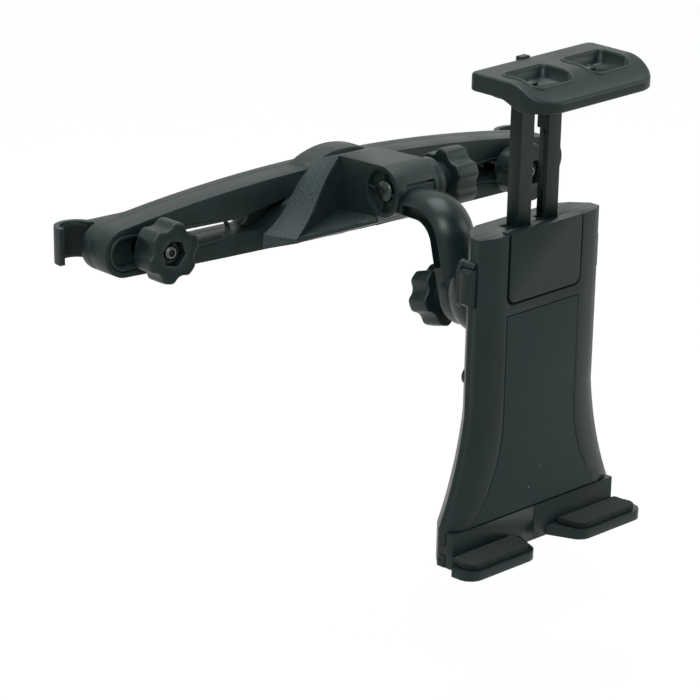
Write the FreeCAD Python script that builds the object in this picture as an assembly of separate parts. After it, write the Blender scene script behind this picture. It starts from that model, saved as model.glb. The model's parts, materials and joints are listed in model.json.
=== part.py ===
import FreeCAD, Part
import math
import os
from FreeCAD import Placement, Rotation, Vector

# A tablet holder that hangs on the two posts of a car headrest, in millimetres.
# X runs along the beam, Y from the tablet back towards the seat, Z up.
# The origin lies midway between the two post axes, near the beam's mid height.

# Fits
PLAY = 0.3
SCREW_PLAY = 0.3
THREAD_PLAY = 0.05
SHELL_GAP = 0.2

# Headrest post and beam
POST_RADIUS = 5.5
BEAM_HALF = 127.0
BEAM_DEPTH = 17.0
BEAM_TOP = 16.4
BEAM_BOTTOM = -15.3
BEAM_END_RADIUS = 10.4
BEAM_END_Z = -3.1
COVER_DEPTH = 5.8
HUMP_HALF = 21.0
HUMP_TOP = 22.0
HUMP_FOOT = 10.0
HUMP_BACK_STEP = 4.3

# Slots in the beam
SLOT_Z = -2.3
SLOT_HEIGHT = 6.6
SLOT_INNER_X = 46.0
SLOT_END_WALL = 15.0
RECESS_RADIUS = 8.2
RECESS_DEPTH = 1.6
RECESS_STEP = 1.5
RECESS_TAIL_RADIUS = 4.6
RECESS_TAIL_X = 66.0
POCKET_DEPTH = 8.0

# Post clamps
LEFT_CLAMP_INSET = 23.8
RIGHT_CLAMP_INSET = 31.5
POST_OFFSET = 22.5
HOOK_WALL = 3.2
HOOK_PAD_THICK = 1.2
HOOK_HEIGHT = 18.0
HOOK_CENTRE_Z = -2.1
HOOK_GAP = 2.0
HOOK_BASE_THICK = 7.0
HOOK_BASE_END = 10.0
HOOK_LIP = 1.6
HOOK_KEY_LENGTH = 9.6
HOOK_KEY_DEPTH = 5.0
PAD_MARGIN = 1.2
WASHER_RADIUS = 9.2
WASHER_THICK = 1.4

# Hardware
BOLT_RADIUS = 3.0
NUT_FLATS = 10.0
NUT_THICK = 5.0
BOLT_HEAD_THICK = 4.0
HINGE_BOLT_RADIUS = 2.5
HINGE_HEAD_RADIUS = 4.9
HINGE_HEAD_HEIGHT = 2.7
HINGE_NUT_FLATS = 8.0
HINGE_NUT_THICK = 4.0
HINGE_BOLT_PROUD = 1.5
BOLT_END_CHAMFER = 0.7
BOLT_END_HOLE = 1.3
BOLT_END_HOLE_DEPTH = 0.9
SCREW_RADIUS = 1.3
SCREW_HEAD_RADIUS = 2.7
SCREW_HEAD_THICK = 1.6
SCREW_SUNK = 1.2
SCREW_LENGTH = 8.0

# Star knobs
KNOB_RADIUS = 13.2
KNOB_LOBES = 6
KNOB_SCALLOP_RADIUS = 5.8
KNOB_SCALLOP_CENTRE = 15.7
KNOB_THICK = 11.5
KNOB_BEVEL = 0.9
KNOB_HUB_RADIUS = 8.5
CLAMP_HUB_LENGTH = 2.4
KNOB_POCKET_DEPTH = 8.0
LEFT_KNOB_TURN = -13.0
RIGHT_KNOB_TURN = 0.0
HINGE_KNOB_TURN = 12.0
SWIVEL_KNOB_TURN = 20.0
BOLT_END_SUNK = 1.8

# Horn and hinge
HINGE_REACH = 38.4
HINGE_Z = 12.9
HOOD_RADIUS = 11.15
HOOD_HALF = 11.2
HOOD_WALL = 1.85
EYE_LEFT = 6.2
EYE_RIGHT = 8.8
HOOD_FRONT_DEG = 23.0
HOOD_REAR_DEG = 112.0
END_RECESS_DEPTH = 2.6
END_RIM = 2.0
END_RIB = 0.9
END_RIB_TURN = 6.0
END_RIB_SUNK = 0.6
HORN_STEP = 10.5
HORN_TOP = 22.7
WEB_HALF = 11.0
FACET_FOOT_X = 46.0
FACET_FOOT_Z = -8.2
FACET_TOP_X = 14.0
FACET_TOP_Z = 19.5
FACET_SWAY = 1.6
RIDGE_FOOT_X = 34.5
RIDGE_FOOT_Z = -10.3
RIDGE_FOOT_THICK = 1.4
HORN_ROOT = 2.0
HORN_LIFT = 0.8
SKIRT_ROOT_Z = -0.5
COLLAR_RADIUS = 10.4
COLLAR_WIDTH = 4.6
HINGE_HUB_LENGTH = 4.8

# Arm and ball joint
ARM_HALF = 10.2
ARM_THICK = 11.0
BEND_RADIUS = 9.5
BEND_REACH = 20.6
BEND_Z = -5.0
ARM_CROWN = 6.2
ARM_POCKET_DEPTH = 2.4
ARM_POCKET_MARGIN = 1.0
ARM_POCKET_WIDTH = 3.0
ARM_POCKET_START = 1.5
ARM_POCKET_END = 1.0
DOME_RADIUS = 17.5
DOME_WALL = 2.6
DOME_REACH = 36.2
DOME_Z = -21.0
BOLT_DIP_DEG = 13.5
DOME_TILT_MAX = 20.2
CUP_RADIUS = 12.6
CUP_BACK = 22.0
CUP_BACK_RADIUS = 9.6
CUP_SHOULDER = 17.5
PLATE_THICK = 1.3
PLATE_HALF_ANGLE = 56.0
WASHER_HALF_ANGLE = 50.0
BOLT_SEAT = 9.0
SWIVEL_HUB_LENGTH = 4.7
SWIVEL_HUB_RADIUS = 7.4

# Holder, in its own frame: x across, y back from the face, z up from the feet
HOLDER_YAW = 6.3
HOLDER_PITCH = 2.0
HOLDER_HEIGHT = 138.0
DOME_STAND = 10.7
DOME_DROP = 37.3
HOLDER_HALF_TOP = 36.6
HOLDER_HALF_FOOT = 49.8
HOLDER_FLARE_Z = 62.0
HOLDER_FLARE_MID_X = 41.8
HOLDER_FLARE_MID_Z = 36.5
HOLDER_DEPTH = 18.5
PARTING_Y = 5.8
FRONT_BEVEL_IN = 12.5
FRONT_BEVEL_BACK = 3.4
BACK_BEVEL_IN = 14.0
BACK_BEVEL_FRONT = 10.2
SHELL_WALL = 2.2
FRONT_WALL = 3.4
HOLDER_SCREW_X = 28.0
HOLDER_SCREW_INSET = 5.1
HOLDER_SCREW_LOW = 30.0
HOLDER_SCREW_DROP = 62.0
BOSS_RADIUS = 3.2

# Upper cover and front pad
COVER_HALF = 22.0
COVER_HEIGHT = 29.5
COVER_PROUD = 0.4
COVER_THICK = 2.4
COVER_CORNER = 3.5
COVER_GROOVE = 0.4
PAD_DROP = 5.3
PAD_THICK = 1.0
PAD_HALF_TOP = 21.8
PAD_PROUD = 0.2
PAD_WAIST_Z = 62.0
PAD_WAIST_X = 21.6
PAD_BELL_X = 26.0
PAD_BELL_Z = 36.0
PAD_FOOT_X = 38.5

# Jaw and its bars
BAR_INNER_X = 4.3
BAR_WIDTH = 8.0
BAR_FRONT_Y = 5.0
BAR_DEPTH = 6.2
BAR_LENGTH = 136.0
BAR_RELIEF = 1.7
RACK_LIP = 1.6
RACK_PITCH = 3.0
RACK_DEPTH = 0.8
RACK_FOOT = 18.0
RACK_DROP = 30.0
GUIDE_DROP = 52.0
GUIDE_THICK = 3.0
JAW_LIFT = 68.0
JAW_HALF = 37.4
JAW_BACK_Y = 13.0
JAW_FRONT_Y = -25.5
JAW_THICK = 7.5
JAW_LIP_DROP = 12.4
JAW_LIP_WALL = 6.2
JAW_LIP_NECK = 2.5
JAW_ROLL = 11.0
JAW_ROLL_HEIGHT = 8.5
JAW_EDGE = 1.2
JAW_CORNER = 7.0
JAW_BACK_CORNER = 2.5
JAW_POCKET_DEPTH = 3.6
JAW_POCKET_X = 17.5
JAW_POCKET_Y = -8.5
JAW_POCKET_HALF_X = 12.4
JAW_POCKET_HALF_Y = 10.2
JAW_POCKET_CORNER = 1.6
JAW_POCKET_RIM = 0.7
JAW_TAB_HALF = 4.0
JAW_TAB_REACH = 1.6
JAW_TAB_DROP = 2.0
TONGUE_THICK = 2.4
TONGUE_REACH = 9.5
TONGUE_WIDTH = 12.0
JAW_SCREW_Y = -3.5
JAW_PAD_THICK = 1.5
JAW_PAD_HALF = 33.0
JAW_PAD_INSET = 3.3
JAW_PAD_BACK = 2.0

# Release buttons
BUTTON_DROP = 28.5
BUTTON_HEIGHT = 16.0
BUTTON_FRONT_Y = 4.3
BUTTON_BACK_Y = 10.4
BUTTON_PROUD = 3.6
BUTTON_CAP = 7.4
BUTTON_BEVEL = 1.4
BUTTON_LEAN = 1.7
SHOE_HEIGHT = 8.0
SHOE_THICK = 1.8
LINK_THICK = 2.0
LEG_X = 22.5
LEG_WIDTH = 2.4
STEM_FRONT_Y = 6.4
STEM_BACK_Y = 9.8
SPRING_THICK = 0.5
SPRING_RADIUS = 3.6
SPRING_FRONT_Y = 4.4
SPRING_HEIGHT = 5.0
SPRING_POST = 1.4

# Feet
FOOT_WALL = 4.0
FOOT_HEIGHT = 15.4
FOOT_SPLIT = 0.15
SHELF_THICK = 4.0
SHELF_REACH = 14.8
SHELF_OUT = 5.0
SHELF_INNER_X = 14.6
SHELF_ROOT_X = 8.0
SHELF_WING_Y = -4.0
SHELF_CORNER = 6.5
SHELF_INNER_CORNER = 6.5
FOAM_THICK = 2.5
FOAM_INSET = 1.6
FOAM_GAP = 0.6
FOAM_SPREAD = 2.5
FOAM_TAPER = 2.5
FOOT_INSET = 0.2
RAIL_INNER_INSET = 3.0
RAIL_NECK = 4.0
RAIL_HEAD = 9.4
RAIL_NECK_DEPTH = 2.6
RAIL_HEAD_DEPTH = 2.0
RAIL_Z = 7.5

# Worked out from the sizes above
BEAM_BACK_Y = -POST_RADIUS
BEAM_FRONT_Y = BEAM_BACK_Y - BEAM_DEPTH
SEAM_Y = BEAM_BACK_Y - COVER_DEPTH
RIDGE_Y = BEAM_FRONT_Y - HORN_STEP
SLOT_OUTER_X = BEAM_HALF - SLOT_END_WALL
LEFT_CLAMP_X = BEAM_HALF - LEFT_CLAMP_INSET
RIGHT_CLAMP_X = BEAM_HALF - RIGHT_CLAMP_INSET
HINGE_Y = BEAM_FRONT_Y - HINGE_REACH
BEND_Y = HINGE_Y - BEND_REACH
DOME_Y = BEND_Y - DOME_REACH
DOME_LOCAL_Y = HOLDER_DEPTH + DOME_STAND
DOME_LOCAL_Z = HOLDER_HEIGHT - DOME_DROP
HOLDER_SCREW_HIGH = HOLDER_HEIGHT - HOLDER_SCREW_DROP
HOLDER_SCREW_Y = HOLDER_DEPTH - HOLDER_SCREW_INSET
COVER_FOOT = HOLDER_HEIGHT - COVER_HEIGHT
PAD_TOP = COVER_FOOT - PAD_DROP
BUTTON_FOOT = HOLDER_HEIGHT - BUTTON_DROP
GUIDE_Z = HOLDER_HEIGHT - GUIDE_DROP
JAW_TOP = HOLDER_HEIGHT + JAW_LIFT
JAW_UNDER = JAW_TOP - JAW_THICK
JAW_LIP_Z = JAW_TOP - JAW_LIP_DROP
BAR_FOOT = JAW_TOP - BAR_LENGTH
RACK_CREST = BAR_INNER_X + BAR_RELIEF
BOLT_DIP = math.radians(BOLT_DIP_DEG)
BACK_DIR = Vector(0, math.cos(BOLT_DIP), -math.sin(BOLT_DIP))
DOWN_DIR = Vector(0, -math.sin(BOLT_DIP), -math.cos(BOLT_DIP))
DOME_CENTRE = Vector(0, DOME_Y, DOME_Z)
X_DIR = Vector(1, 0, 0)
Y_DIR = Vector(0, 1, 0)
Z_DIR = Vector(0, 0, 1)
HOLDER_TURN = Rotation(Z_DIR, HOLDER_YAW).multiply(Rotation(X_DIR, HOLDER_PITCH))
HOLDER_POSE = Placement(DOME_CENTRE, HOLDER_TURN).multiply(
    Placement(Vector(0, -DOME_LOCAL_Y, -DOME_LOCAL_Z), Rotation())
)


def sound(shape):
    return shape.isValid() and all(piece.isValid() for piece in shape.Solids)


def save(name, shape):
    merged = shape.copy().removeSplitter()
    solid = merged if sound(merged) else shape
    if not sound(solid) or len(solid.Solids) != 1:
        print("look at", name, sound(solid), len(solid.Solids))
    solid.exportStep("parts/" + name + ".step")


def save_on_holder(name, shape):
    placed = shape.copy()
    placed.Placement = HOLDER_POSE.multiply(placed.Placement)
    save(name, placed)


def box(x0, x1, y0, y1, z0, z1):
    return Part.makeBox(x1 - x0, y1 - y0, z1 - z0, Vector(x0, y0, z0))


def rod(radius, start, direction, length):
    return Part.makeCylinder(radius, length, start, direction)


def ring(outer, inner, start, direction, length):
    return rod(outer, start, direction, length).cut(rod(inner, start, direction, length))


def ball(radius, centre):
    sphere = Part.makeSphere(radius)
    sphere.translate(centre)
    return sphere


def prism(points, direction):
    wire = Part.makePolygon(points + [points[0]])
    return Part.Face(wire).extrude(direction)


def joined(body, parts):
    for part in parts:
        body = body.fuse(part)
    return body


def carve(body, cuts):
    for cut in cuts:
        body = body.cut(cut)
    return body


def solid_from(edges, direction):
    return Part.Face(Part.Wire(Part.__sortEdges__(edges))).extrude(direction)


def rounded(corners, z):
    # Edges of a flat outline at height z; each corner is (x, y, radius)
    arcs = []
    for i, (x, y, radius) in enumerate(corners):
        here = Vector(x, y, z)
        before = Vector(corners[i - 1][0], corners[i - 1][1], z)
        after = Vector(corners[(i + 1) % len(corners)][0], corners[(i + 1) % len(corners)][1], z)
        to_before = (before - here).normalize()
        to_after = (after - here).normalize()
        half = to_before.getAngle(to_after) / 2
        reach = radius / math.tan(half)
        centre = here + (to_before + to_after).normalize() * (radius / math.sin(half))
        arcs.append((here + to_before * reach, centre + (here - centre).normalize() * radius,
                     here + to_after * reach))
    edges = []
    for i, (start, middle, end) in enumerate(arcs):
        edges.append(line(arcs[i - 1][2], start))
        edges.append(arc(start, middle, end))
    return edges


def line(a, b):
    return Part.LineSegment(a, b).toShape()


def arc(a, b, c):
    return Part.Arc(a, b, c).toShape()


def mirrored(shape):
    return shape.mirror(Vector(0, 0, 0), X_DIR)


def hexagon(flats, start, direction, length):
    corner = flats / math.sqrt(3)
    points = [Vector(corner * math.cos(math.radians(60 * i + 90)),
                     corner * math.sin(math.radians(60 * i + 90)), 0) for i in range(6)]
    solid = prism(points, Vector(0, 0, length))
    solid.Placement = Placement(start, Rotation(Z_DIR, direction))
    return solid


# Beam

def beam_outline(y, shrink=0.0):
    c = BEAM_HALF - BEAM_END_RADIUS
    top = BEAM_END_Z + BEAM_END_RADIUS - shrink
    low = BEAM_END_Z - BEAM_END_RADIUS + shrink
    end = BEAM_HALF - shrink
    return [
        arc(Vector(-c, y, top), Vector(0, y, BEAM_TOP - shrink), Vector(c, y, top)),
        arc(Vector(c, y, top), Vector(end, y, BEAM_END_Z), Vector(c, y, low)),
        arc(Vector(c, y, low), Vector(0, y, BEAM_BOTTOM + shrink), Vector(-c, y, low)),
        arc(Vector(-c, y, low), Vector(-end, y, BEAM_END_Z), Vector(-c, y, top)),
    ]


def beam_slab(y0, y1):
    return solid_from(beam_outline(y0), Vector(0, y1 - y0, 0))


def hump(y0, y1):
    foot = BEAM_TOP - 0.5
    a = Vector(-HUMP_HALF, y0, foot)
    b = Vector(HUMP_HALF, y0, foot)
    low_b = Vector(HUMP_HALF, y0, HUMP_FOOT)
    low_a = Vector(-HUMP_HALF, y0, HUMP_FOOT)
    edges = [arc(a, Vector(0, y0, HUMP_TOP), b), line(b, low_b), line(low_b, low_a), line(low_a, a)]
    return solid_from(edges, Vector(0, y1 - y0, 0))


def stadium(x0, x1, z, half, y0, y1):
    left = Vector(x0 + half, y0, z)
    right = Vector(x1 - half, y0, z)
    up = Vector(0, 0, half)
    edges = [
        line(left + up, right + up),
        arc(right + up, right + Vector(half, 0, 0), right - up),
        line(right - up, left - up),
        arc(left - up, left - Vector(half, 0, 0), left + up),
    ]
    return solid_from(edges, Vector(0, y1 - y0, 0))


def slot_cut():
    return stadium(-SLOT_OUTER_X, -SLOT_INNER_X, SLOT_Z, SLOT_HEIGHT / 2,
                   BEAM_FRONT_Y - 1, BEAM_BACK_Y + 1)


def teardrop(shrink, depth):
    # The recess round the slot, whose floor rises to nothing at its tail
    big = RECESS_RADIUS - shrink
    small = RECESS_TAIL_RADIUS - shrink / 2
    xb = -(BEAM_HALF - BEAM_END_RADIUS)
    xs = -RECESS_TAIL_X
    y0 = BEAM_FRONT_Y
    lean = math.asin((big - small) / (xs - xb))
    up_b = Vector(xb + big * math.sin(lean), y0, BEAM_END_Z + big * math.cos(lean))
    up_s = Vector(xs + small * math.sin(lean), y0, SLOT_Z + small * math.cos(lean))
    low_b = Vector(xb + big * math.sin(lean), y0, BEAM_END_Z - big * math.cos(lean))
    low_s = Vector(xs + small * math.sin(lean), y0, SLOT_Z - small * math.cos(lean))
    edges = [
        line(up_b, up_s),
        arc(up_s, Vector(xs + small, y0, SLOT_Z), low_s),
        line(low_s, low_b),
        arc(low_b, Vector(xb - big, y0, BEAM_END_Z), up_b),
    ]
    well = solid_from(edges, Vector(0, depth, 0))
    tail = Vector(xs + small, y0, 0)
    well.translate(Vector(0, -depth, 0))
    slope = math.degrees(math.atan(depth / (xs + small - xb + big)))
    well.rotate(tail, Z_DIR, -slope)
    return well


def horn_pocket():
    low = SLOT_Z - SLOT_HEIGHT / 2
    y0 = BEAM_FRONT_Y - HORN_STEP
    points = [
        Vector(-SLOT_INNER_X - 12, y0, SLOT_Z + SLOT_HEIGHT / 2),
        Vector(-SLOT_INNER_X - 4, y0, low),
        Vector(-SLOT_INNER_X + 2, y0, low),
        Vector(-FACET_TOP_X - 11, y0, FACET_TOP_Z - 12.5),
    ]
    return prism(points, Vector(0, HORN_STEP + POCKET_DEPTH, 0))


def bowed(a, b, sway):
    # An edge from a to b whose middle stands off the straight line by sway
    run = (b - a).normalize()
    middle = (a + b) * 0.5 + Vector(run.z, 0, -run.x) * sway
    return arc(a, middle, b)


def horn_base():
    def section(y, fx, fz, tx, tz, low, sway):
        # Each flank runs up in a shallow S, hollow near its foot and full near its top
        foot_l, foot_r = Vector(-fx, y, fz), Vector(fx, y, fz)
        top_l, top_r = Vector(-tx, y, tz), Vector(tx, y, tz)
        mid_l, mid_r = (foot_l + top_l) * 0.5, (foot_r + top_r) * 0.5
        low_l, low_r = Vector(-fx, y, low), Vector(fx, y, low)
        return Part.Wire([
            line(low_l, foot_l), bowed(foot_l, mid_l, sway), bowed(mid_l, top_l, -sway),
            line(top_l, top_r), bowed(top_r, mid_r, -sway), bowed(mid_r, foot_r, sway),
            line(foot_r, low_r), line(low_r, low_l),
        ])

    near = section(BEAM_FRONT_Y + HORN_ROOT, FACET_FOOT_X, FACET_FOOT_Z, FACET_TOP_X, FACET_TOP_Z,
                   BEAM_BOTTOM + HORN_LIFT, FACET_SWAY)
    far = section(RIDGE_Y, RIDGE_FOOT_X, RIDGE_FOOT_Z, WEB_HALF, HORN_TOP,
                  RIDGE_FOOT_Z - RIDGE_FOOT_THICK, FACET_SWAY / 2)
    return Part.makeLoft([near, far], True, True)


def horn_web():
    lift = Vector(0, 0, HOOD_RADIUS)
    centre = Vector(-WEB_HALF, HINGE_Y, HINGE_Z)
    points = [
        Vector(-WEB_HALF, RIDGE_Y + 3, HORN_TOP - 0.6),
        Vector(-WEB_HALF, RIDGE_Y, HORN_TOP),
        centre + lift,
        centre,
        Vector(-WEB_HALF, HINGE_Y + 3.0, HINGE_Z - HOOD_RADIUS + 0.4),
        Vector(-WEB_HALF, HINGE_Y + 8.0, -3.4),
        Vector(-WEB_HALF, RIDGE_Y + 3, RIDGE_FOOT_Z - 2.2),
    ]
    return prism(points, Vector(2 * WEB_HALF, 0, 0))


def skirt():
    def section(y, top_z, out_x, out_z, thick, low_z):
        points = [
            Vector(-WEB_HALF + 1, y, top_z), Vector(-out_x, y, out_z),
            Vector(-out_x, y, out_z - thick), Vector(-WEB_HALF + 1, y, low_z),
        ]
        return Part.makePolygon(points + [points[0]])

    near = section(RIDGE_Y + 1, SKIRT_ROOT_Z, RIDGE_FOOT_X, RIDGE_FOOT_Z + 0.6, 2.0,
                   RIDGE_FOOT_Z - 2.0)
    far = section(HINGE_Y + 3.5, 1.9, WEB_HALF + 0.6, -0.4, 1.2, -1.6)
    return Part.makeLoft([near, far], True, True)


def sector(radius, x0, x1, from_deg, to_deg):
    # Angles run from the front of the hinge axis, up being positive
    centre = Vector(x0, HINGE_Y, HINGE_Z)
    points = [centre]
    steps = 8
    for i in range(steps + 1):
        angle = math.radians(from_deg + (to_deg - from_deg) * i / steps)
        points.append(centre + Vector(0, -radius * math.cos(angle), radius * math.sin(angle)))
    return prism(points, Vector(x1 - x0, 0, 0))


def hood_cuts():
    left = -EYE_LEFT - PLAY
    right = EYE_RIGHT + PLAY
    axis = Vector(left, HINGE_Y, HINGE_Z)
    chamber = rod(HOOD_RADIUS - HOOD_WALL, axis, X_DIR, right - left)
    mouth = sector(2 * HOOD_RADIUS, left, right, HOOD_FRONT_DEG, -HOOD_REAR_DEG)
    bore = rod(HINGE_BOLT_RADIUS + SCREW_PLAY, Vector(-2 * HOOD_HALF, HINGE_Y, HINGE_Z), X_DIR,
               4 * HOOD_HALF)
    end = Vector(-HOOD_HALF, HINGE_Y, HINGE_Z)
    well = ring(HOOD_RADIUS - END_RIM, HINGE_HEAD_RADIUS, end, X_DIR, END_RECESS_DEPTH)
    for i in range(4):
        rib = box(-HOOD_HALF, -HOOD_HALF + END_RECESS_DEPTH, -END_RIB / 2, END_RIB / 2,
                  0, HOOD_RADIUS)
        rib.rotate(Vector(0, 0, 0), X_DIR, 90 * i + END_RIB_TURN)
        rib.translate(Vector(END_RIB_SUNK, HINGE_Y, HINGE_Z))
        well = well.cut(rib)
    seat = rod(HINGE_HEAD_RADIUS + SCREW_PLAY, end, X_DIR, END_RECESS_DEPTH)
    return [chamber, mouth, bore, well, seat]


def screw_places():
    return [(x, z) for x in (-18.0, 18.0) for z in (-9.0, 9.0)]


def beam_screw(x, z):
    head_y = BEAM_BACK_Y - SCREW_SUNK
    head = rod(SCREW_HEAD_RADIUS, Vector(x, head_y, z), -Y_DIR, SCREW_HEAD_THICK)
    return head.fuse(rod(SCREW_RADIUS, Vector(x, head_y, z), -Y_DIR, SCREW_LENGTH))


def beam_front_shell():
    body = beam_slab(BEAM_FRONT_Y, SEAM_Y)
    body = body.fuse(hump(BEAM_FRONT_Y, SEAM_Y))
    body = body.fuse(horn_base())
    hood = rod(HOOD_RADIUS, Vector(-HOOD_HALF, HINGE_Y, HINGE_Z), X_DIR, 2 * HOOD_HALF)
    flank = skirt()
    body = joined(body, [horn_web(), flank, mirrored(flank), hood])
    cuts = [slot_cut(), teardrop(0, RECESS_DEPTH), teardrop(RECESS_STEP, 2 * RECESS_DEPTH),
            horn_pocket()]
    cuts = cuts + [mirrored(cut) for cut in cuts] + hood_cuts()
    for x, z in screw_places():
        cuts.append(rod(SCREW_RADIUS, Vector(x, BEAM_BACK_Y, z), -Y_DIR,
                        SCREW_SUNK + SCREW_LENGTH))
    return carve(body, cuts)


def beam_back_cover():
    body = beam_slab(SEAM_Y, BEAM_BACK_Y).fuse(hump(SEAM_Y, BEAM_BACK_Y - HUMP_BACK_STEP))
    slot = slot_cut()
    cuts = [slot, mirrored(slot)]
    for x, z in screw_places():
        cuts.append(rod(SCREW_RADIUS, Vector(x, BEAM_BACK_Y, z), -Y_DIR, COVER_DEPTH))
        cuts.append(rod(SCREW_HEAD_RADIUS + SCREW_PLAY, Vector(x, BEAM_BACK_Y, z), -Y_DIR,
                        SCREW_SUNK + SCREW_HEAD_THICK))
    return body.cut(cuts)


# Knobs

def star_knob(hub_radius, hub_length, bore, flats):
    # Built along +Z: the hub from 0, then the star, with the nut pocket in its outer face
    length = hub_length + KNOB_THICK
    profile = [
        Vector(0, 0, hub_length), Vector(KNOB_RADIUS - KNOB_BEVEL, 0, hub_length),
        Vector(KNOB_RADIUS, 0, hub_length + KNOB_BEVEL),
        Vector(KNOB_RADIUS, 0, length - KNOB_BEVEL),
        Vector(KNOB_RADIUS - KNOB_BEVEL, 0, length), Vector(0, 0, length),
    ]
    star = Part.Face(Part.makePolygon(profile + [profile[0]])).revolve(Vector(0, 0, 0), Z_DIR, 360)
    scallops = []
    for i in range(KNOB_LOBES):
        angle = math.radians(360.0 * i / KNOB_LOBES)
        place = Vector(KNOB_SCALLOP_CENTRE * math.cos(angle), KNOB_SCALLOP_CENTRE * math.sin(angle),
                       hub_length - 1)
        scallops.append(rod(KNOB_SCALLOP_RADIUS, place, Z_DIR, KNOB_THICK + 2))
    knob = star.cut(scallops).fuse(rod(hub_radius, Vector(0, 0, 0), Z_DIR, hub_length + 1))
    pocket = hexagon(flats, Vector(0, 0, length - KNOB_POCKET_DEPTH), Z_DIR, KNOB_POCKET_DEPTH)
    return knob.cut([rod(bore, Vector(0, 0, 0), Z_DIR, length), pocket])


def knob_nut(bore, flats, thick):
    return hexagon(flats, Vector(0, 0, 0), Z_DIR, thick).cut(rod(bore, Vector(0, 0, 0), Z_DIR, thick))


def stood(shape, start, direction, turn=0.0):
    placed = shape.copy()
    place = Placement(start, Rotation(Z_DIR, direction).multiply(Rotation(Z_DIR, turn)))
    placed.Placement = place.multiply(placed.Placement)
    return placed


# Post clamps, drawn for the left side with the bolt at x = 0

def hook():
    low = HOOK_CENTRE_Z - HOOK_HEIGHT / 2
    base = Vector(-POST_OFFSET, 0, low)
    inner = POST_RADIUS + HOOK_PAD_THICK
    outer = inner + HOOK_WALL
    clip = ring(outer, inner, base, Z_DIR, HOOK_HEIGHT)
    front = BEAM_BACK_Y + HOOK_GAP
    back = front + HOOK_BASE_THICK
    top = low + HOOK_HEIGHT
    clip = clip.cut(box(-POST_OFFSET - outer, -POST_OFFSET + outer, -outer, 0, low, top))
    lip = box(-POST_OFFSET - outer, -POST_OFFSET - inner, -HOOK_LIP, 0, low, top)
    root = box(-POST_OFFSET + (inner + outer) / 2, HOOK_BASE_END, front, back, low, top)
    rounded = [edge for edge in root.Edges
               if abs(edge.BoundBox.XMin - HOOK_BASE_END) < 0.01 and edge.BoundBox.ZLength > 1]
    root = root.makeFillet(HOOK_BASE_THICK / 3, rounded)
    key_half = SLOT_HEIGHT / 2 - PLAY
    for s in (-1, 1):
        x0, x1 = sorted((s * (BOLT_RADIUS + PLAY), s * HOOK_KEY_LENGTH / 2))
        key = box(x0, x1, front - HOOK_GAP - HOOK_KEY_DEPTH, front + 1,
                  SLOT_Z - key_half, SLOT_Z + key_half)
        clip = clip.fuse(key)
    body = joined(clip, [lip, root])
    axis = Vector(0, back, SLOT_Z)
    head = hexagon(NUT_FLATS + SCREW_PLAY, axis, -Y_DIR, BOLT_HEAD_THICK)
    return body.cut([rod(BOLT_RADIUS, axis, -Y_DIR, 4 * HOOK_BASE_THICK), head])


def hook_pad():
    low = HOOK_CENTRE_Z - HOOK_HEIGHT / 2 + PAD_MARGIN
    height = HOOK_HEIGHT - 2 * PAD_MARGIN
    inner = POST_RADIUS
    outer = inner + HOOK_PAD_THICK
    pad = ring(outer, inner, Vector(-POST_OFFSET, 0, low), Z_DIR, height)
    return pad.cut(box(-POST_OFFSET - outer, -POST_OFFSET + outer, -outer, 0, low, low + height))


def bolt(start, direction, length):
    # A hexagon head, then a shank whose far end is chamfered and centre drilled
    head = hexagon(NUT_FLATS, start, direction, BOLT_HEAD_THICK)
    shank = rod(BOLT_RADIUS, start, direction, length - BOLT_END_CHAMFER)
    end = Part.makeCone(BOLT_RADIUS, BOLT_RADIUS - BOLT_END_CHAMFER, BOLT_END_CHAMFER,
                        start + direction * (length - BOLT_END_CHAMFER), direction)
    hole = rod(BOLT_END_HOLE, start + direction * length, -direction, BOLT_END_HOLE_DEPTH)
    return joined(head, [shank, end]).cut(hole)


def hook_bolt():
    back = BEAM_BACK_Y + HOOK_GAP + HOOK_BASE_THICK
    return bolt(Vector(0, back, SLOT_Z), -Y_DIR, back - clamp_face_y() - BOLT_END_SUNK)


def clamp_seat_y():
    return BEAM_FRONT_Y - PLAY - WASHER_THICK - PLAY


def clamp_face_y():
    return clamp_seat_y() - CLAMP_HUB_LENGTH - KNOB_THICK


def clamp_pieces(side, clamp_x, flip, turn):
    def place(shape):
        moved = shape.copy()
        moved.translate(Vector(-clamp_x, 0, 0))
        return mirrored(moved) if flip else moved

    seat = Vector(0, clamp_seat_y(), SLOT_Z)
    washer = ring(WASHER_RADIUS, BOLT_RADIUS + SCREW_PLAY,
                  Vector(0, BEAM_FRONT_Y - PLAY, SLOT_Z), -Y_DIR, WASHER_THICK)
    knob = star_knob(KNOB_HUB_RADIUS, CLAMP_HUB_LENGTH, BOLT_RADIUS + SCREW_PLAY,
                     NUT_FLATS + SCREW_PLAY)
    nut = knob_nut(BOLT_RADIUS + THREAD_PLAY, NUT_FLATS, NUT_THICK)
    nut_seat = seat - Y_DIR * (CLAMP_HUB_LENGTH + KNOB_THICK - KNOB_POCKET_DEPTH)
    save(side + "_hook", place(hook()))
    save(side + "_hook_pad", place(hook_pad()))
    save(side + "_hook_bolt", place(hook_bolt()))
    save(side + "_knob_washer", place(washer))
    save(side + "_knob", place(stood(knob, seat, -Y_DIR, turn)))
    save(side + "_knob_nut", place(stood(nut, nut_seat, -Y_DIR, turn)))


# Hinge

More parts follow.
